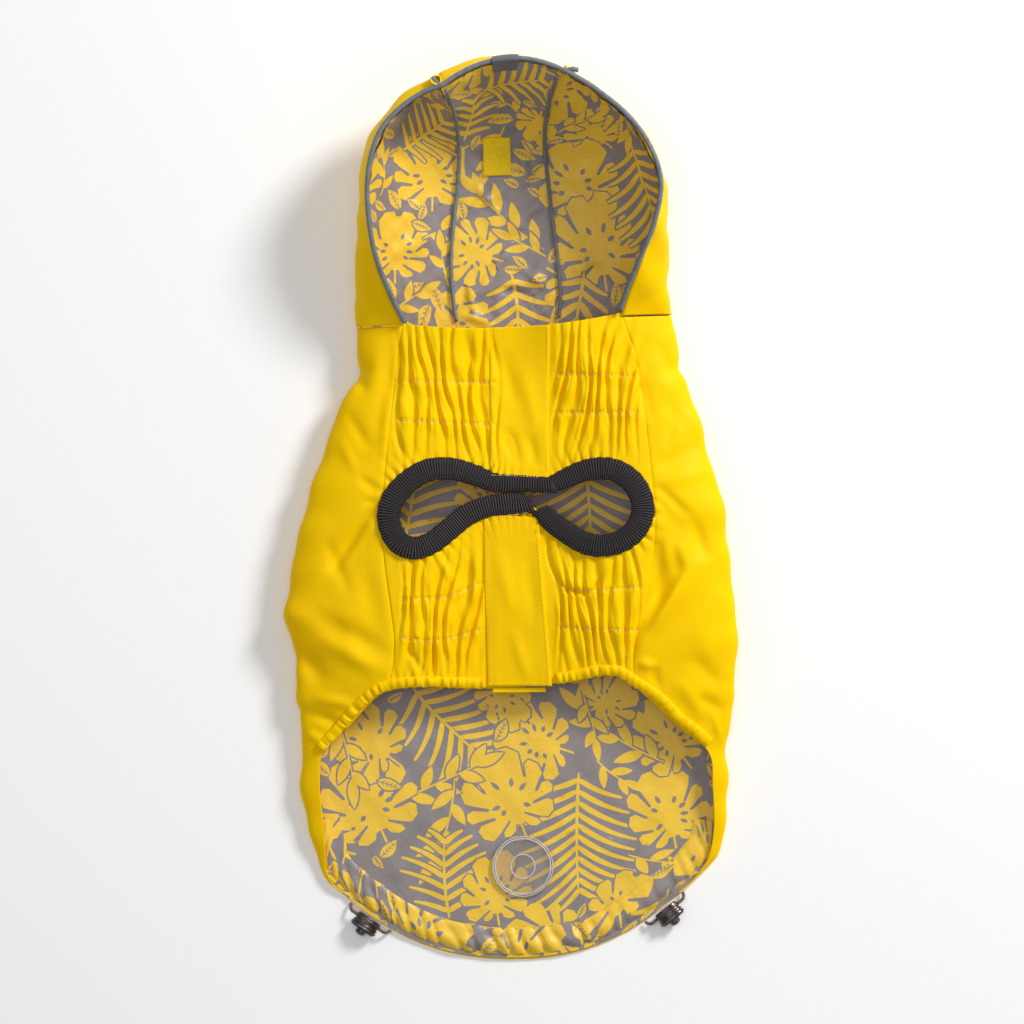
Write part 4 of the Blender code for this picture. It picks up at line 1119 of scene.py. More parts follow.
makeCasing("casingLeft", "hem_casing_left", 0, 4.95)
makeCasing("casingRight", "hem_casing_right", 6.05, len(hemLine) - 1)
print("hem casings")

# the hood's shell

hood = {
    "thickness": 0.9, "inside": 2.3, "seamGap": 1.1, "lastStep": 8.9, "rows": 160, "columns": 64,
    "crumple": 1.5, "lowest": 0.35,
    "fullLeft": 6.2, "fullRight": 2.4, "fullCrown": 13.5, "crownAt": 0.90, "crownSpread": 0.085,
}


def hoodCrumple(x, y, z, seed):
    # soft uneven creases of a hood that lies open
    wave = 0.55 * np.sin(0.11 * x + 0.16 * y + seed) * np.sin(0.08 * y - 0.13 * z + 0.5 * seed)
    wave += 0.35 * np.sin(0.23 * x - 0.19 * y + 0.1 * z + 2 * seed) * np.sin(0.15 * y + 0.2 * z)
    return wave


def hoodSideGrid(rows, lastStep, rowCount, columnCount, seamGap, lastShare=1.0):
    step = np.linspace(0.02, lastStep, rowCount)[:, None]
    share = np.linspace(0, 1, columnCount)[None]
    row = readTable(rows, step)
    length = np.hypot(row[..., 4] - row[..., 1], row[..., 5] - row[..., 2])
    wide = length + row[..., 7]
    last = math.pi - np.arcsin(length / wide)
    first = np.arcsin(np.minimum(seamGap / wide, 0.5)) / last
    share = first + (lastShare - first) * share
    step, share = np.broadcast_arrays(step, share)
    return hoodPoint(rows, step, share)


def hoodCentreGrid(rowCount, columnCount, seamGap):
    step = np.linspace(0.02, 9.0, rowCount)[:, None]
    left, right = readTable(hoodLeft, step)[..., 1:4], readTable(hoodRight, step)[..., 1:4]
    # near the crown it laps over the side panels, so that no gap shows at the corners
    gapHere = seamGap - (seamGap + 1.6) * smoothStep(4.6, 6.0, step[:, 0])
    margin = (gapHere / np.linalg.norm(left - right, axis=-1).ravel())[:, None]
    share = margin + (1 - 2 * margin) * np.linspace(0, 1, columnCount)[None]
    step, share = np.broadcast_arrays(step, share)
    return hoodCentrePoint(share, step)


def tucked(grid):
    # a lining's lower edge reaches in under the fronts
    low = 1 - smoothStep(0, 9, grid[..., 1] - grid[0, :, 1])
    grid = grid.copy()
    grid[..., 1] -= 6.0 * low * (1 - smoothStep(5, 16, grid[..., 2]))
    return grid


def makeHoodShell(name, node, grid, facing, seed, sideFullness=0.0):
    # the cloth stands out beyond the rim: the sides by sideFullness, the centre near the crown
    v = hood
    normal = gridNormals(grid, facing)
    bulge = hoodCrumple(*np.moveaxis(grid, -1, 0), seed) * smoothStep(2, 14, grid[..., 2])
    columns = np.linspace(0, 1, grid.shape[1])[None]
    rows = np.linspace(0, 1, grid.shape[0])[:, None]
    if sideFullness:
        stand = sideFullness * smoothStep(0.25, 0.6, rows) * np.sin(math.pi * np.clip(columns, 0, 1) ** 1.3) ** 0.8
    else:
        stand = v["fullCrown"] * np.exp(-(((rows - v["crownAt"]) / v["crownSpread"]) ** 2))
        stand = stand * (0.35 + 0.65 * (1 - columns))
        stand = stand * smoothStep(0, 0.06, columns) * (1 - smoothStep(0.86, 1, columns))
    grid = grid + normal * (v["crumple"] * bulge + stand)[..., None]
    grid[..., 2] = np.maximum(grid[..., 2], v["lowest"])
    piece = clothWall(name, grid, v["thickness"], facing, [yellow], (0, 0))
    return place(piece, "coated_yellow", node)


for word, rows, side, seed in (("Left", hoodLeft, -1, 0.7), ("Right", hoodRight, 1, 2.4)):
    grid = hoodSideGrid(rows, hood["lastStep"], hood["rows"], hood["columns"], hood["seamGap"])
    makeHoodShell("hoodShell" + word, "hood_shell_" + word.lower(), grid, -side, seed, hood["full" + word])
makeHoodShell("hoodShellCentre", "hood_shell_centre", hoodCentreGrid(170, 40, hood["seamGap"]), -1, 4.0)
print("hood shell")

# the leaves of the print, as outlines in millimetres with the stem at the origin


def turned(points, angle, shift=(0, 0), scale=1.0):
    c, s = math.cos(math.radians(angle)), math.sin(math.radians(angle))
    points = np.asarray(points, float) * scale
    x, y = points.T
    return np.stack([x * c - y * s + shift[0], x * s + y * c + shift[1]], -1)


def pointedLeaf(length, width, bend=0.0):
    # a pointed oval from the origin up to (0, length), with a sideways bend
    t = np.linspace(0, 1, 11)
    half = width / 2 * np.sin(math.pi * t**0.85) ** 0.9
    middle = bend * np.sin(math.pi * t)
    right = np.stack([middle + half, t * length], -1)
    left = np.stack([middle - half, t * length], -1)
    return np.concatenate([right, left[-2:0:-1]])


def strap(start, direction, length, width, curl, count=8):
    # a narrow leaflet that curves as it goes and ends in a point
    t = np.linspace(0, 1, count)
    heading = math.radians(direction) + math.radians(curl) * t
    step = length / (count - 1)
    x = start[0] + np.concatenate([[0], np.cumsum(np.cos(heading[:-1]) * step)])
    y = start[1] + np.concatenate([[0], np.cumsum(np.sin(heading[:-1]) * step)])
    half = width / 2 * np.clip(1.15 - t, 0.03, 1) ** 0.45 * np.clip(0.55 + 3 * t, 0, 1)
    normal = np.stack([-np.sin(heading), np.cos(heading)], -1)
    path = np.stack([x, y], -1)
    return np.concatenate([path + normal * half[:, None], (path - normal * half[:, None])[::-1]])


def splitLeaf(length, seed):
    # a broad leaf with blunt lobes, narrow notches and oval holes; ink is 1 and holes are 0
    rng = np.random.default_rng(seed)
    table = np.array([(0, 0.60), (35, 0.55), (70, 0.49), (105, 0.48), (140, 0.46), (165, 0.36), (180, 0.26)])
    centre = np.array([0, 0.40 * length])

    def at(angle, share, side):
        radius = np.interp(angle, *table.T) * length * share
        turn = math.radians(angle)
        return centre + np.array([side * radius * math.sin(turn), radius * math.cos(turn)])

    right, left, holes = [], [], []
    for points, side in ((right, 1), (left, -1)):
        bounds = np.array([4, 42, 76, 108, 140, 172]) + rng.uniform(-5, 5, 6) * (0, 1, 1, 1, 1, 0)
        gap = 3.4
        for k in range(5):
            low, high = bounds[k] + gap * (k > 0), bounds[k + 1] - gap
            reach = 0.93 + 0.14 * rng.random()
            span = high - low
            lobe = [(low, 0.86), (low + 0.10 * span, 1.0), (low + 0.5 * span, 1.06)]
            lobe += [(high - 0.12 * span, 1.0), (high, 0.84)]
            points += [at(angle, share * reach, side) for angle, share in lobe]
            if k < 4:
                deep = 0.44 + 0.16 * rng.random()
                notch = ((6, deep + 0.05), (11, deep), (14, deep + 0.06))
                points += [at(bounds[k + 1] + angle, share, side) for angle, share in notch]
                if rng.random() < 0.8:
                    middle = bounds[k] + 0.55 * (bounds[k + 1] - bounds[k])
                    way = at(middle, 1.0, side) - centre
                    far = np.linalg.norm(way)
                    hole = pointedLeaf(far * (0.17 + 0.08 * rng.random()), length * 0.052)
                    holeTurn = math.degrees(math.atan2(way[1], way[0])) - 90
                    holes.append((turned(hole, holeTurn, centre + way * (0.24 + 0.1 * rng.random())), 0))
    stem = [np.array([x, share * length]) for x, share in ((0.6, 0.12), (0.7, -0.06), (-0.7, -0.06), (-0.6, 0.12))]
    return [(np.array(right + stem + left[::-1]), 1)] + holes


def palmFrond(length, reach, bend, seed):
    # a midrib with a row of curved leaflets on each side
    rng = np.random.default_rng(seed)
    shapes = [(strap((0, 0), 90 - bend * 0.5, length, 2.0, bend, 16), 1)]
    pitch = 6.3
    count = int(length * 0.95 / pitch)
    for k in range(count):
        t = (k + 0.6) / count
        heading = math.radians(90 - bend * 0.5 + bend * t * 0.5)
        base = (length * t * math.cos(heading), length * t * math.sin(heading))
        long = reach * math.sin(math.pi * (0.16 + 0.74 * t)) ** 0.8 * (0.92 + 0.16 * rng.random())
        local = 90 - bend * 0.5 + bend * t
        for side in (1, -1):
            shapes.append((strap(base, local - side * (62 - 22 * t), long, 3.5, side * -24, 9), 1))
    return shapes


def sprig(length, leaf, seed):
    # pointed leaves on a thin stem
    rng = np.random.default_rng(seed)
    bend = rng.uniform(-26, 26)
    shapes = [(strap((0, 0), 90 - bend / 2, length * 0.9, 1.2, bend, 12), 1)]
    count = max(3, int(length / 8.5))
    for k in range(count):
        t = (k + 0.7) / (count + 0.4)
        heading = math.radians(90 - bend / 2 + bend * t * 0.5)
        base = (length * 0.9 * t * math.cos(heading), length * 0.9 * t * math.sin(heading))
        side = 1 if k % 2 else -1
        angle = bend * t - bend / 2 + side * (44 - 14 * t) + rng.uniform(-6, 6)
        shapes.append((turned(pointedLeaf(leaf * (0.8 + 0.3 * rng.random()), leaf * 0.36), angle, base), 1))
    heading = math.radians(90)
    shapes.append((turned(pointedLeaf(leaf * 1.05, leaf * 0.36), bend / 2, (0.0, length * 0.86)), 1))
    return shapes


def veinedLeaf(length, seed):
    # one broad pointed leaf with its veins left bare
    shapes = [(pointedLeaf(length, length * 0.46, 0.6), 1)]
    vein = [(x, share * length) for x, share in ((0.4, 0.02), (0.7, 0.9), (0.4, 0.9), (-0.3, 0.02))]
    shapes.append((np.array(vein), 0))
    for k in range(4):
        y = length * (0.2 + 0.17 * k)
        for side in (1, -1):
            shapes.append((strap((0.3, y), 90 - side * 48, length * 0.17, 0.55, side * 16, 5), 0))
    return shapes


def makeLeaf(kind, size, seed):
    if kind == "split":
        return splitLeaf(size, seed), size
    if kind == "frond":
        return palmFrond(size, size * 0.56, (-1) ** seed * 14, seed), size
    if kind == "sprig":
        return sprig(size, 18.0 if size > 34 else 14.0, seed), size
    return veinedLeaf(size, seed), size


# half length and half width of each kind's footprint, as shares of its size
footprints = {"split": (0.50, 0.45), "frond": (0.52, 0.42), "sprig": (0.52, 0.26), "veined": (0.5, 0.24)}


def layOut(placed, bounds, seed):
    # fills what the given leaves leave free, so that no two prints cross
    rng = np.random.default_rng(seed)
    cell = 1.5
    low, high = np.array(bounds[:2]), np.array(bounds[2:])
    shape = np.ceil((high - low) / cell).astype(int) + 1
    gx, gy = np.meshgrid(np.arange(shape[0]), np.arange(shape[1]), indexing="ij")
    centres = np.stack([gx, gy], -1) * cell + low
    taken = np.zeros(shape, bool)

    def cover(kind, u, v, angle, size, share):
        half, wide = footprints[kind]
        way = np.array([-math.sin(math.radians(angle)), math.cos(math.radians(angle))])
        middle = np.array([u, v]) + way * size * 0.5
        off = centres - middle
        along, across = off @ way, off @ np.array([way[1], -way[0]])
        return (along / (half * size * share)) ** 2 + (across / (wide * size * share)) ** 2 < 1

    for kind, u, v, angle, size in placed:
        taken |= cover(kind, u, v, angle, size, 0.98)
    result = list(placed)
    for kind, smallest, largest, tries in (("split", 44, 60, 160), ("frond", 52, 84, 260), ("sprig", 30, 46, 420),
                                     ("veined", 15, 21, 420), ("sprig", 18, 26, 420), ("veined", 9, 13, 500)):
        for _ in range(tries):
            size = rng.uniform(smallest, largest)
            u, v = rng.uniform(low - 12, high + 12)
            angle = rng.uniform(0, 360)
            mask = cover(kind, u, v, angle, size, 0.98)
            if mask.sum() < 6 or (mask & taken).sum() > 0.05 * mask.sum():
                continue
            taken |= mask
            result.append((kind, u, v, angle, size))
    return result


# printed cloth: a flat cut, its leaves and its form


class SheetForm:
    # a sheet's form as a dense table of points. Columns run to +x and rows to +y where it lies flat.
    def __init__(self, table, anchor, measure=None):
        self.table = table
        across = np.linalg.norm(np.diff(table, axis=1), axis=-1)
        run = np.concatenate([np.zeros((len(table), 1)), np.cumsum(across, 1)], 1)
        self.u = run - run[:, anchor][:, None]
        column = anchor if measure is None else measure
        self.v = np.concatenate([[0], np.cumsum(np.linalg.norm(np.diff(table[:, column], axis=0), axis=-1))])
        self.normals = gridNormals(table, 1)

    def outline(self, spacing):
        v = np.linspace(0, self.v[-1], max(8, int(self.v[-1] / spacing)))
        left = np.stack([np.interp(v, self.v, self.u[:, 0]), v], -1)
        right = np.stack([np.interp(v, self.v, self.u[:, -1]), v], -1)
        ends = []
        for row, order in ((-1, 1), (0, -1)):
            first, last = self.u[row, 0], self.u[row, -1]
            u = np.linspace(first, last, max(6, int((last - first) / spacing)))[1:-1]
            ends.append(np.stack([u, np.full(len(u), self.v[row])], -1)[::order])
        return np.concatenate([left, ends[0], right[::-1], ends[1]])

    def sample(self, flat):
        row = np.clip(np.interp(flat[:, 1], self.v, np.arange(len(self.v))), 0, len(self.v) - 1.0001)
        low = row.astype(int)
        share = row - low
        column = np.zeros(len(flat))
        for k in np.unique(low):
            here = low == k
            count = np.arange(self.u.shape[1])
            first = np.interp(flat[here, 0], self.u[k], count)
            second = np.interp(flat[here, 0], self.u[k + 1], count)
            column[here] = first * (1 - share[here]) + second * share[here]
        column = np.clip(column, 0, self.u.shape[1] - 1.0001)
        left = column.astype(int)
        part = (column - left)[:, None]
        share = share[:, None]

        def blend(values):
            return (
                values[low, left] * (1 - part) * (1 - share) + values[low, left + 1] * part * (1 - share)
                + values[low + 1, left] * (1 - part) * share + values[low + 1, left + 1] * part * share
            )

        return blend(self.table), blend(self.normals)

    def flatOf(self, x, y):
        off = np.hypot(self.table[..., 0] - x, self.table[..., 1] - y)
        row, column = np.unravel_index(np.argmin(off), off.shape)
        return self.u[row, column], self.v[row]


def insideOutline(points, outline):
    x, y = points.T
    found = np.zeros(len(points), bool)
    for a, b in zip(outline, np.roll(outline, -1, 0)):
        crosses = (a[1] > y) != (b[1] > y)
        found ^= crosses & (x < (b[0] - a[0]) * (y - a[1]) / (b[1] - a[1] + 1e-12) + a[0])
    return found


def anticlockwise(outline):
    x, y = outline.T
    return outline if np.sum(x * np.roll(y, -1) - y * np.roll(x, -1)) > 0 else outline[::-1]


def denser(outline, spacing):
    points = []
    for a, b in zip(outline, np.roll(outline, -1, 0)):
        count = max(1, int(np.linalg.norm(b - a) / spacing))
        points += [a + (b - a) * k / count for k in range(count)]
    return np.array(points)


def grown(points, by):
    # an outline moved outwards, which leaves a bare margin round a leaf that lies over another
    points = anticlockwise(points)
    way = np.roll(points, -1, 0) - np.roll(points, 1, 0)
    way /= np.maximum(np.linalg.norm(way, axis=1, keepdims=True), 1e-9)
    return points + np.stack([way[:, 1], -way[:, 0]], -1) * by


def makePrinted(name, form, hand, seed, spacing, depth, relief, nodes):
    # hand holds the listed leaves: kind, x, y of its stem in plan, its turn and its size
    outline = anticlockwise(form.outline(spacing))
    low, high = outline.min(0), outline.max(0)
    ahead = np.roll(outline, -1, 0)
    area = abs(np.sum(outline[:, 0] * ahead[:, 1] - ahead[:, 0] * outline[:, 1])) / 2
    cuts[name] = (*((high - low) * mm), area * mm * mm)
    placed = [(kind, *form.flatOf(x, y), angle, size) for kind, x, y, angle, size in hand]
    leaves = layOut(placed, (*low, *high), seed)
    u, v = np.meshgrid(np.arange(low[0], high[0], spacing), np.arange(low[1], high[1], spacing * 0.866))
    u = u + (np.arange(len(u)) % 2)[:, None] * spacing / 2
    inner = np.stack([u.ravel(), v.ravel()], -1)
    inner = inner[insideOutline(inner, outline)]
    vertices, faces, inks = [outline], [list(range(len(outline)))], [0]
    count = len(outline)
    for index, (kind, lu, lv, angle, size) in enumerate(leaves):
        shapes, _ = makeLeaf(kind, size, seed * 100 + index)
        margins = [(grown(shape, 1.0), 0) for shape, ink in shapes if ink] if index < len(hand) else []
        shapes = margins + shapes
        for shape, ink in shapes:
            points = turned(shape, angle, (lu, lv))
            if (points.max(0) < low).any() or (points.min(0) > high).any():
                continue
            if not insideOutline(points, outline).any():
                continue
            points = denser(anticlockwise(points), 2.6)
            vertices.append(points)
            faces.append(list(range(count, count + len(points))))
            inks.append(ink)
            count += len(points)
    vertices.append(inner)
    flat = np.concatenate(vertices)
    cut = delaunay_2d_cdt([Vector(point) for point in flat.tolist()], [], faces, 1, 1e-5, True)
    flat = np.array([tuple(point) for point in cut[0]])
    triangles, slots = [], []
    for face, sources in zip(cut[2], cut[5]):
        if 0 not in sources:
            continue
        triangles.append(face)
        slots.append(inks[max(sources)])
    triangles = np.array(triangles)
    used = np.unique(triangles)
    renumber = np.zeros(len(flat), int)
    renumber[used] = np.arange(len(used))
    flat, triangles = flat[used], renumber[triangles]
    points, normals = form.sample(flat)
    normals /= np.linalg.norm(normals, axis=1, keepdims=True)
    points = points + normals * (depth + relief(points, flat))[:, None]
    piece = newObject(name, points, triangles, [printGrey, printYellow], slots, flat)
    place(piece, "printed_lining", *nodes)
    print(f"{name}: {len(leaves)} leaves, {len(triangles)} triangles")


def creased(points, creases):
    return sum(ridge(points[:, 0], points[:, 1], *crease) for crease in creases)


tailCreases = [
    (-77, -116, -98, -166, 2.2, -1.3), (-84, -120, -106, -160, 3.0, 1.0), (-60, -112, -66, -150, 5, 0.7),
    (-30, -108, -42, -150, 4, -0.7), (-8, -108, -4, -136, 4, 0.6), (20, -106, 24, -140, 5, -0.6),
    (50, -104, 66, -150, 4, 0.8), (74, -108, 98, -150, 4.5, -0.9), (90, -120, 112, -160, 3.5, 0.8),
    (-100, -170, -60, -176, 9, 0.6), (20, -180, 90, -190, 9, -0.6), (-50, -200, -10, -208, 7, 0.5),
    (60, -205, 98, -172, 5, 0.6), (-112, -170, -104, -205, 3.5, 0.8),
]


def bodyLiningRelief(points, flat):
    x, y = points[:, 0], points[:, 1]
    wave = 0.28 * np.sin(0.13 * x + 0.07 * y) * np.sin(0.1 * y - 0.04 * x + 1) + 0.16 * np.sin(0.31 * x + 0.22 * y + 2)
    return np.clip(creased(points, tailCreases) * 0.8 + wave, -0.7, 2.5)


def backLiningForm():
    rows = 240
    section = sectionAt(np.linspace(tailY, neckY, rows)[:, None])
    parts = []
    for side, reachName, foldName in ((-1, "reachL", "foldL"), (1, "reachR", "foldR")):
        reach, fold = section[reachName], section[foldName]
        angle = math.radians(74) * np.linspace(0, 1, 30)[None]
        x = side * (fold + (reach - fold) * np.sin(angle))
        parts.append(np.stack([x, sectionY(section, x), section["loft"] * (1 - np.cos(angle))], -1))
    x = -section["foldL"] + (section["foldR"] + section["foldL"]) * np.linspace(0, 1, 62)[None, 1:-1]
    floor = np.stack([x, sectionY(section, x), 0 * x], -1)
    table = np.concatenate([parts[0][:, ::-1], floor, parts[1]], 1)
    table[0] = table[0] * 0.25 + table[1] * 0.75
    return SheetForm(table, 60)


tailLeaves = [
    ("frond", -60, -107, 224, 64), ("split", 36, -145, 72, 47), ("frond", 40, -158, 182, 74),
    ("split", 8, -195, 24, 54),
    ("split", 97, -201, 12, 52), ("split", 106, -153, 36, 44), ("sprig", 92, -151, 56, 66),
    ("split", 47, -121, -62, 32),
    ("split", -11, -101, 210, 34), ("veined", -11, -138, -30, 15), ("sprig", -68, -174, -66, 58),
    ("sprig", -33, -163, 166, 58),
    ("split", -76, -198, 24, 57), ("split", -70, -151, 52, 47), ("veined", -81, -162, -105, 15),
    ("veined", -80, -209, -35, 16),
    ("sprig", -109, -206, -132, 60), ("frond", -37, -245, 6, 50), ("split", -7, -247, 10, 42),
    ("split", 59, -252, -20, 40),
    ("sprig", 71, -207, -106, 40), ("veined", 108, -209, -24, 15), ("sprig", 44, -112, -170, 30),
    ("sprig", -104, -128, 190, 40),
    ("frond", -66, -22, -8, 66), ("frond", 42, 36, 180, 84),
]
makePrinted("liningBack", backLiningForm(), tailLeaves, 3, 2.6, 1.9, bodyLiningRelief, ["back_lining"])

# the tail's drawcord channel

channel = {
    "edge": 3.2, "width": 19.0, "pitch": 10.5, "pleat": 1.4, "seamAt": 15.8, "seamSink": 0.9,
    "cordAt": 5.5, "cordRise": 0.9, "edgeSink": 1.3,
}


def tailOutline():
    y = np.linspace(-186, tailY, 9)
    ends = sectionAt(y)
    last = {key: value[-1] for key, value in ends.items()}
    left = np.stack([-ends["reachL"], y + ends["bow"]], -1)
    x = np.linspace(-last["reachL"], last["reachR"], 21)[1:-1]
    end = np.stack([x, sectionY({key: np.full(len(x), value) for key, value in last.items()}, x)], -1)
    right = np.stack([ends["reachR"], y + ends["bow"]], -1)[::-1]
    return smoothLine(np.concatenate([left, end, right]), 1.0)


tailEdge = tailOutline()


def channelForm():
    line = tailEdge[3:-3]
    way = np.gradient(line, axis=0)
    way /= np.linalg.norm(way, axis=1, keepdims=True)
    share = np.linspace(channel["edge"], channel["width"], 24)[:, None]
    x = line[None, :, 0] - way[None, :, 1] * share
    y = line[None, :, 1] + way[None, :, 0] * share
    return SheetForm(np.stack([x, y, floorHeight(x, y)], -1), len(line) // 2)


def channelRelief(points, flat):
    v = channel
    u, inward = flat[:, 0], flat[:, 1]
    wander = 1.8 * np.sin(0.11 * u) + 1.2 * np.sin(0.27 * u + 1)
    pleats = narrowValleys(2 * math.pi * (u + 0.55 * inward + wander) / v["pitch"])
    strength = (0.35 + 0.65 * np.exp(-((u / 95) ** 4))) * (0.7 + 0.3 * np.sin(0.05 * u + 1))
    seam = np.exp(-(((v["seamAt"] - inward) / 1.2) ** 2))
    cord = v["cordRise"] * np.exp(-(((inward - v["cordAt"]) / 3.0) ** 2))
    edge = np.exp(-inward / 1.0)
    fading = 0.3 + 0.7 * np.cos(math.pi * np.clip(inward / v["seamAt"], 0, 1) / 2)
    return v["pleat"] * strength * pleats * fading + cord - v["seamSink"] * seam - v["edgeSink"] * edge


makePrinted(
    "channelFacing", channelForm(), [], 11, 1.7, 2.9, channelRelief, ["hem_facing"]
)

# the hood's printed linings

hoodCreases = [
    (-34, 128, 24, 140, 5, 1.5), (-30, 150, 10, 168, 4, -1.3), (-6, 158, 20, 190, 4, 1.3),
    (-30, 176, 0, 196, 3.4, 1.1),
    (-32, 122, -18, 160, 3.2, -1.0), (8, 120, 20, 152, 3.6, 1.0), (-26, 196, 14, 214, 3.6, -1.0),
    (-14, 132, 14, 128, 3, -1.1),
    (-80, 150, -44, 166, 5, 0.9), (-78, 190, -40, 200, 6, -0.9), (-60, 130, -40, 146, 4, 0.8),
    (-70, 215, -38, 222, 5, 0.8),
    (32, 140, 60, 156, 5, 0.9), (28, 170, 66, 176, 6, -1.0), (30, 196, 70, 206, 5, 0.9),
    (40, 122, 52, 150, 4, -0.9),
    (-34, 118, -12, 112, 2.6, 1.2), (4, 146, 22, 132, 2.4, 1.1), (-10, 178, -22, 196, 2.6, 1.1),
    (10, 196, 2, 222, 3.0, 1.0),
    (-18, 134, -2, 156, 2.2, 0.9), (-27, 140, -22, 112, 2.0, 1.0), (16, 112, 26, 132, 2.2, 1.1),
    (-24, 216, 14, 224, 3.4, 1.0), (-34, 228, 0, 236, 3.2, -0.9), (-10, 114, -6, 132, 3, 0.9),
    (2, 172, 24, 176, 3, -0.9),
]


def hoodForm(which):
    if which == "centre":
        return SheetForm(tucked(hoodCentreGrid(200, 60, 0.2)), 30)
    rows = hoodLeft if which == "left" else hoodRight
    grid = tucked(hoodSideGrid(rows, hood["lastStep"], 220, 70, 0.2, 0.992))
    return SheetForm(grid[:, ::-1], 69, 30) if which == "left" else SheetForm(grid, 0, 40)


def hoodRelief(seed):
    def relief(points, flat):
        x, y, z = points.T
        shell = -1.5 * hoodCrumple(x, y, z, seed) * smoothStep(2, 14, z)
        fine = 0.22 * np.sin(0.42 * x + 0.2 * y + seed) * np.sin(0.3 * y - 0.2 * z)
        fine += 0.16 * np.sin(0.7 * x - 0.5 * y + z * 0.3)
        return shell + np.maximum(1.8 * creased(points, hoodCreases) + 1.3 * fine, -0.45)

    return relief


hoodLeaves = {
    "left": [("split", -48, 182, 6, 52), ("split", -70, 138, 0, 44), ("frond", -66, 216, -48, 42),
             ("sprig", -80, 188, 8, 26),
             ("veined", -60, 172, -110, 13), ("veined", -65, 131, -68, 13), ("sprig", -54, 162, -62, 30),
             ("sprig", -72, 119, -58, 26),
             ("sprig", -38, 134, 10, 26)],
    "centre": [("sprig", 6, 236, 46, 34), ("split", 18, 238, 168, 28), ("frond", -29, 222, -10, 34),
               ("sprig", 19, 156, 48, 60),
               ("split", -7, 150, 74, 40), ("frond", 0, 142, 182, 46), ("sprig", 20, 152, 60, 26),
               ("veined", 1, 217, -115, 15),
               ("frond", -18, 250, -70, 40)],
    "right": [("split", 59, 218, 44, 38), ("split", 38, 172, -6, 56), ("split", 57, 134, 4, 54),
              ("frond", 72, 218, 190, 64),
              ("frond", 44, 142, 172, 40), ("sprig", 28, 226, -60, 30)],
}
for index, which in enumerate(("left", "centre", "right")):
    makePrinted(
        "hoodLining" + which.capitalize(), hoodForm(which), hoodLeaves[which], 21 + index, 2.2, 1.9,
        hoodRelief((0.7, 4.0, 2.4)[index]), ["hood_lining_" + which],
    )

# grey pipings

pipings = {"rim": 1.5, "seam": 1.0, "outer": 0.8, "beyond": 2.2}


def hoodRim():
    # the middle of the rim piping from the left end of the neckline over the crown to the right end
    v = pipings
    lines = []
    for rows, steps in ((hoodLeft, np.linspace(0.1, 8.0, 60)), (hoodRight, np.linspace(8.0, 0.1, 60))):
        end, before = hoodPoint(rows, steps, np.full(60, 1.0)), hoodPoint(rows, steps, np.full(60, 0.995))
        lines.append((end, before))
    share = np.linspace(0.0, 1.0, 24)
    crown = (hoodCentrePoint(share, np.full(24, 9.0)), hoodCentrePoint(share, np.full(24, 8.8)))
    points = []
    for end, before in (lines[0], crown, lines[1]):
        way = end - before
        way /= np.linalg.norm(way, axis=1, keepdims=True)
        level = way.copy()
        level[:, 2] = 0
        flatLength = np.linalg.norm(level, axis=1, keepdims=True)
        inward = np.concatenate([-level[:, :2] / flatLength * way[:, 2:], flatLength], 1)
        points.append(end + way * v["beyond"] + inward * hood["inside"] / 2)
    return smoothLine(np.concatenate(points)[::2], 1.2)


def makePiping(name, node, line, radius, wobble):
    run = np.arange(len(line))
    ring = circleRing(1, 12)[None] * (radius + wobble * np.sin(run * 1.7) * np.sin(run * 0.31))[:, None, None]
    piece = sweep(name, line, ring, [greyPiping], hoodUp(line))
    return place(piece, "grey_piping", node)


def hoodUp(line):
    up = np.tile([0.0, 0.0, 1.0], (len(line), 1))
    way = np.gradient(line, axis=0)
    way /= np.linalg.norm(way, axis=1, keepdims=True)
    steep = np.abs(way[:, 2]) > 0.9
    up[steep] = (0, 1, 0)
    return up


rimLine = hoodRim()
makePiping("rimPiping", "rim_piping", rimLine, pipings["rim"], 0.06)


def seamLine(share, lastStep, offset):
    step = np.linspace(0.1, lastStep, 90)
    three = np.stack([hoodCentrePoint(np.full(90, share + k * 0.04), step) for k in (-1, 0, 1)], 1)
    normal = gridNormals(three, 1)[:, 1]
    return smoothLine((three[:, 1] + normal * offset)[::3], 1.2)


for side, share in (("left", 0.0), ("right", 1.0)):
    word = side.capitalize()
    makePiping("seamPiping" + word, "seam_piping_" + side, seamLine(share, 8.95, 3.3), pipings["seam"] * 1.15, 0.05)
    makePiping("outerPiping" + word, "outer_piping_" + side, seamLine(share, 7.6, 0.2), pipings["outer"], 0.03)
for name, ends in (("pipingEndLeft", [(-43.5, 251.5, 55), (-45.6, 253.6, 55.8), (-47.2, 255.4, 55.0)]),
                   ("pipingEndRight", [(32, 259.6, 55.5), (36, 260.6, 56.2), (39, 260.0, 55.4)])):
    stub = smoothLine(ends, 0.5)
    place(sweep(name, stub, circleRing(1.5, 12), [greyPiping]), "grey_piping")
print("pipings")

# patch and label in the hood

extras = {"patchShares": (0.28, 0.60), "patchSteps": (4.21, 5.41), "labelShares": (0.42, 0.64)}


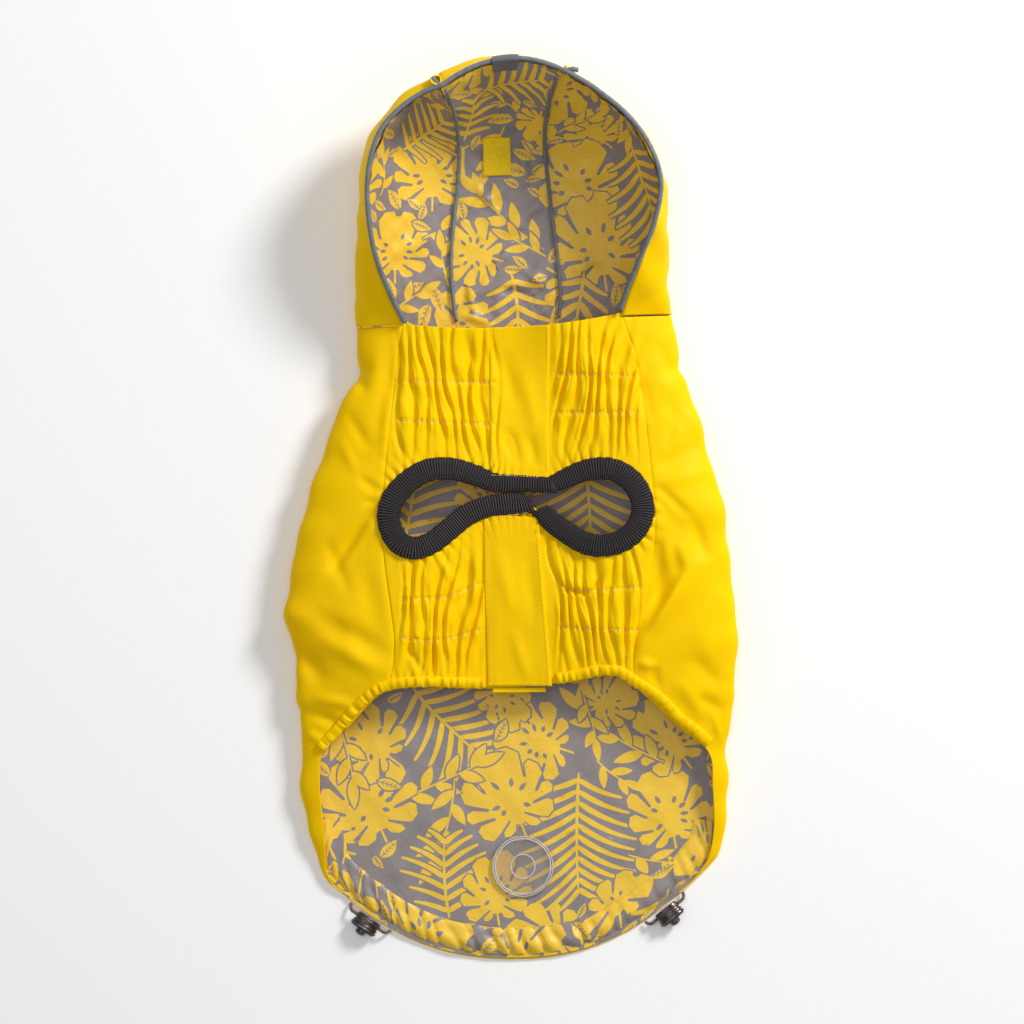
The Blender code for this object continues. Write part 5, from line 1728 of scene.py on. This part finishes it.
def makePatch():
    v = extras
    share, step = np.meshgrid(np.linspace(*v["patchShares"], 44), np.linspace(*v["patchSteps"], 56))
    base = hoodCentrePoint(share, step)
    normal = gridNormals(base, 1)
    x, y = base[..., 0], base[..., 1]
    flat = base.reshape(-1, 3)
    follow = hoodRelief(4.0)(flat, None).reshape(x.shape)
    grid = base + normal * (3.1 + 0.6 * follow)[..., None]
    fromSides = np.minimum(share - share[0, 0], share[0, -1] - share) * 54
    edge = np.minimum(fromSides, np.minimum(step - step[0, 0], step[-1, 0] - step) * 20)
    grid[..., 2] += 0.35 * smoothStep(0, 1.2, edge) + 0.07 * np.sin(3.1 * x) * np.sin(2.7 * y)
    piece = clothWall("hoodPatch", grid, 0.9, 1, [patchLoop], (0, 0))
    return place(piece, "coated_yellow", "hood_patch")


def makeLabel():
    v = extras
    shares = np.linspace(*v["labelShares"], 24)
    inner = [hoodCentrePoint(shares, np.full(24, step)) for step in np.linspace(8.15, 8.65, 8)]
    inner = np.array(inner)
    inner = inner + gridNormals(inner, 1) * 2.9
    outer = np.array([hoodCentrePoint(shares, np.full(24, step)) for step in np.linspace(8.5, 8.8, 5)])
    outer = outer - gridNormals(outer, 1) * 0.5
    point, before = hoodCentrePoint(shares, np.full(24, 9.0)), hoodCentrePoint(shares, np.full(24, 8.8))
    way = point - before
    way /= np.linalg.norm(way, axis=1, keepdims=True)
    level = way * (1, 1, 0)
    length = np.linalg.norm(level, axis=1, keepdims=True)
    inward = np.concatenate([-level[:, :2] / length * way[:, 2:], length], 1)
    middle = point + way * pipings["beyond"] + inward * hood["inside"] / 2
    over = [middle + (way * math.cos(turn) + inward * math.sin(turn)) * 2.4 for turn in np.linspace(1.9, -1.9, 22)]
    grid = np.concatenate([inner, np.array(over), outer[::-1]])
    facing = 1 if gridNormals(grid, 1)[2, 12, 2] > 0 or gridNormals(grid, 1)[14, 12, 2] > 0 else -1
    piece = clothWall("rimLabel", grid, 0.6, facing, [labelGrey], (0, 0))
    return place(piece, "grey_piping", "rim_label")


makePatch()
makeLabel()
print("patch and label")

# the round badge on the tail

badge = {"middle": (6.5, -214.0), "radius": 19.0, "bottom": 2.75, "wall": 0.7,
         "rings": ((16.6, 0.42), (17.9, 0.3), (7.2, 0.4))}


def makeBadge():
    v = badge
    x, y = v["middle"]
    bpy.ops.object.select_all(action="DESELECT")
    bpy.ops.mesh.primitive_cylinder_add(
        vertices=96, radius=v["radius"] * mm, depth=v["wall"] * mm,
        location=(x * mm, y * mm, (v["bottom"] + v["wall"] / 2) * mm),
    )
    disc = bpy.context.active_object
    disc.name = "badge"
    soften = disc.modifiers.new("rounded", "BEVEL")
    soften.width, soften.segments, soften.limit_method = 0.3 * mm, 4, "ANGLE"
    bpy.ops.object.modifier_apply(modifier="rounded")
    disc.data.materials.append(badgePlastic)
    rings = [disc]
    for radius, wire in v["rings"]:
        bpy.ops.mesh.primitive_torus_add(
            major_radius=radius * mm, minor_radius=wire * mm, major_segments=96, minor_segments=12,
            location=(x * mm, y * mm, (v["bottom"] + v["wall"]) * mm),
        )
        rings.append(bpy.context.active_object)
        rings[-1].data.materials.append(badgeRaised)
    bpy.ops.object.select_all(action="DESELECT")
    for piece in rings:
        piece.select_set(True)
    bpy.context.view_layer.objects.active = disc
    bpy.ops.object.join()
    bpy.ops.object.transform_apply(location=True, rotation=True, scale=True)
    disc.data.shade_smooth()
    disc.data.set_sharp_from_angle(angle=math.radians(40))
    return place(disc, "clear_badge", "badge")


makeBadge()
print("badge")

# stitches


def stitchRow(name, line, pitch, length, radius, finish, slot, sink=0.0):
    # one stitch, copied along a line: half of it shows above the cloth
    line = smoothLine(line, 0.25)
    run = np.arange(len(line)) * 0.25
    starts = np.arange(0.5, run[-1] - length, pitch)
    unit = [(-0.5, 0.35), (-0.32, 0.85), (0.0, 1.0), (0.32, 0.85), (0.5, 0.35)]
    turn = np.arange(6) / 6 * 2 * math.pi
    points, faces = [], []
    for start in starts:
        middle = np.array([np.interp(start + length / 2, run, line[:, k]) for k in range(3)])
        ahead = np.array([np.interp(start + length, run, line[:, k]) for k in range(3)])
        way = (ahead - middle) / max(np.linalg.norm(ahead - middle), 1e-6)
        side = np.cross(way, (0, 0, 1.0))
        side /= np.linalg.norm(side)
        lift = np.cross(side, way)
        first = len(points)
        for along, share in unit:
            for angle in turn:
                off = side * math.cos(angle) + lift * math.sin(angle) * 0.8
                points.append(middle + way * along * length + off * radius * share - lift * sink)
        for r in range(4):
            for c in range(6):
                a, b = first + r * 6 + c, first + r * 6 + (c + 1) % 6
                faces.append((a, b, b + 6, a + 6))
        faces.append(tuple(range(first + 5, first - 1, -1)))
        faces.append(tuple(range(first + 24, first + 30)))
    piece = newObject(name, points, faces, [finish])
    return place(piece, slot)


def onFront(points, lift):
    line = smoothLine(np.array(points, float), 0.8)
    return upperPoint(line[:, 0], line[:, 1], lift)


for index, block in enumerate(gatherBlocks):
    for key in ("upper", "lower"):
        stitchRow(f"gatherStitches{index}{key}", onFront(block[key], 0.12), 2.6, 1.7, 0.24, paleThread, "coated_yellow")
placketRows = [
    [(-11.4, 106.5), (-11.4, 23)], [(21, 108), (20.6, 22)], [(-12, -104.2), (20, -104.2)], [(-14.6, -9), (-12.6, -103)],
    [(14.2, -12), (22, -103)], ]
for index, points in enumerate(placketRows):
    stitchRow(f"placketStitches{index}", onFront(points, 1.62), 2.4, 1.7, 0.16, yellowThread, "coated_yellow")
for index, points in enumerate(([(-90, 108.6), (-66, 109.2)], [(66, 115.4), (89, 118.4)])):
    stitchRow(f"neckStitches{index}", onFront(points, 0.25), 2.4, 1.6, 0.2, yellowThread, "coated_yellow")
trimRows = [[(-14, 20.6), (2, 20.0), (16, 19.3)], [(-12, -4.4), (0, -3.2), (11, -1.6)]]
for index, points in enumerate(trimRows):
    stitchRow(f"trimStitches{index}", onFront(points, 2.3), 2.0, 1.3, 0.22, paleThread, "coated_yellow")
seamInside = SheetForm(channelForm().table, len(tailEdge) // 2)
seamPoints = seamInside.table[-2, ::6] + seamInside.normals[-2, ::6] * 2.2
stitchRow("channelStitches", seamPoints, 2.6, 1.8, 0.17, greyThread, "printed_lining")
print("stitches")

# what each sheet of cloth was cut to

# piece, how it is held, what it lies on, fullness taken up by gathers too small to model, what is sewn on it
sheetTable = [
    ("shellBack", "laid", ["floor"], 1.0, ["channelStitches"]),
    ("liningBack", "laid", ["shellBack"], 1.0, []),
    ("channelFacing", "gathered", ["liningBack"], 1.15, []),
    ("chestLeft", "gathered", ["shellBack", "liningBack"], 1.15, ["gatherStitches0upper", "gatherStitches0lower"]),
    ("chestRight", "gathered", ["shellBack", "liningBack"], 1.15, ["gatherStitches1upper", "gatherStitches1lower"]),
    ("bellyLeft", "gathered", ["shellBack", "liningBack"], 1.15,
     ["gatherStitches2upper", "gatherStitches2lower", "casingLeft", "neckStitches0"]),
    ("bellyRight", "gathered", ["shellBack", "liningBack"], 1.15,
     ["gatherStitches3upper", "gatherStitches3lower", "casingRight", "neckStitches1"]),
    ("placketUpper", "laid", ["chestLeft", "chestRight"], 1.0,
     ["placketStitches0", "placketStitches1", "trimStitches0"]),
    ("placketLower", "laid", ["bellyLeft", "bellyRight"], 1.0,
     ["placketStitches2", "placketStitches3", "placketStitches4", "placketUnderlap", "trimStitches1"]),
    ("trimLeft", "stretched", ["chestLeft", "bellyLeft"], 1.0, []),
    ("trimRight", "stretched", ["chestRight", "bellyRight"], 1.0, []),
    ("hoodShellLeft", "draped", ["floor"], 1.0, []),
    ("hoodShellRight", "draped", ["floor"], 1.0, []),
    ("hoodShellCentre", "draped", ["floor"], 1.0, []),
    ("hoodLiningLeft", "draped", ["hoodShellLeft"], 1.0, []),
    ("hoodLiningRight", "draped", ["hoodShellRight"], 1.0, []),
    ("hoodLiningCentre", "draped", ["hoodShellCentre"], 1.0, []),
    ("hoodPatch", "laid", ["hoodLiningCentre"], 1.0, []),
    ("rimLabel", "folded", ["hoodLiningCentre"], 1.0, []),
]


def declareSheets():
    for name, held, restsOn, fullness, sewnOn in sheetTable:
        width, length, area = cuts[name]
        most = width * length * fullness
        area = min(max(area * fullness, 0.31 * most), most)
        print(f"{name}: cut {width * fullness * 1000:.0f} x {length * 1000:.0f} mm, {area * 1e4:.1f} cm2")


declareSheets()
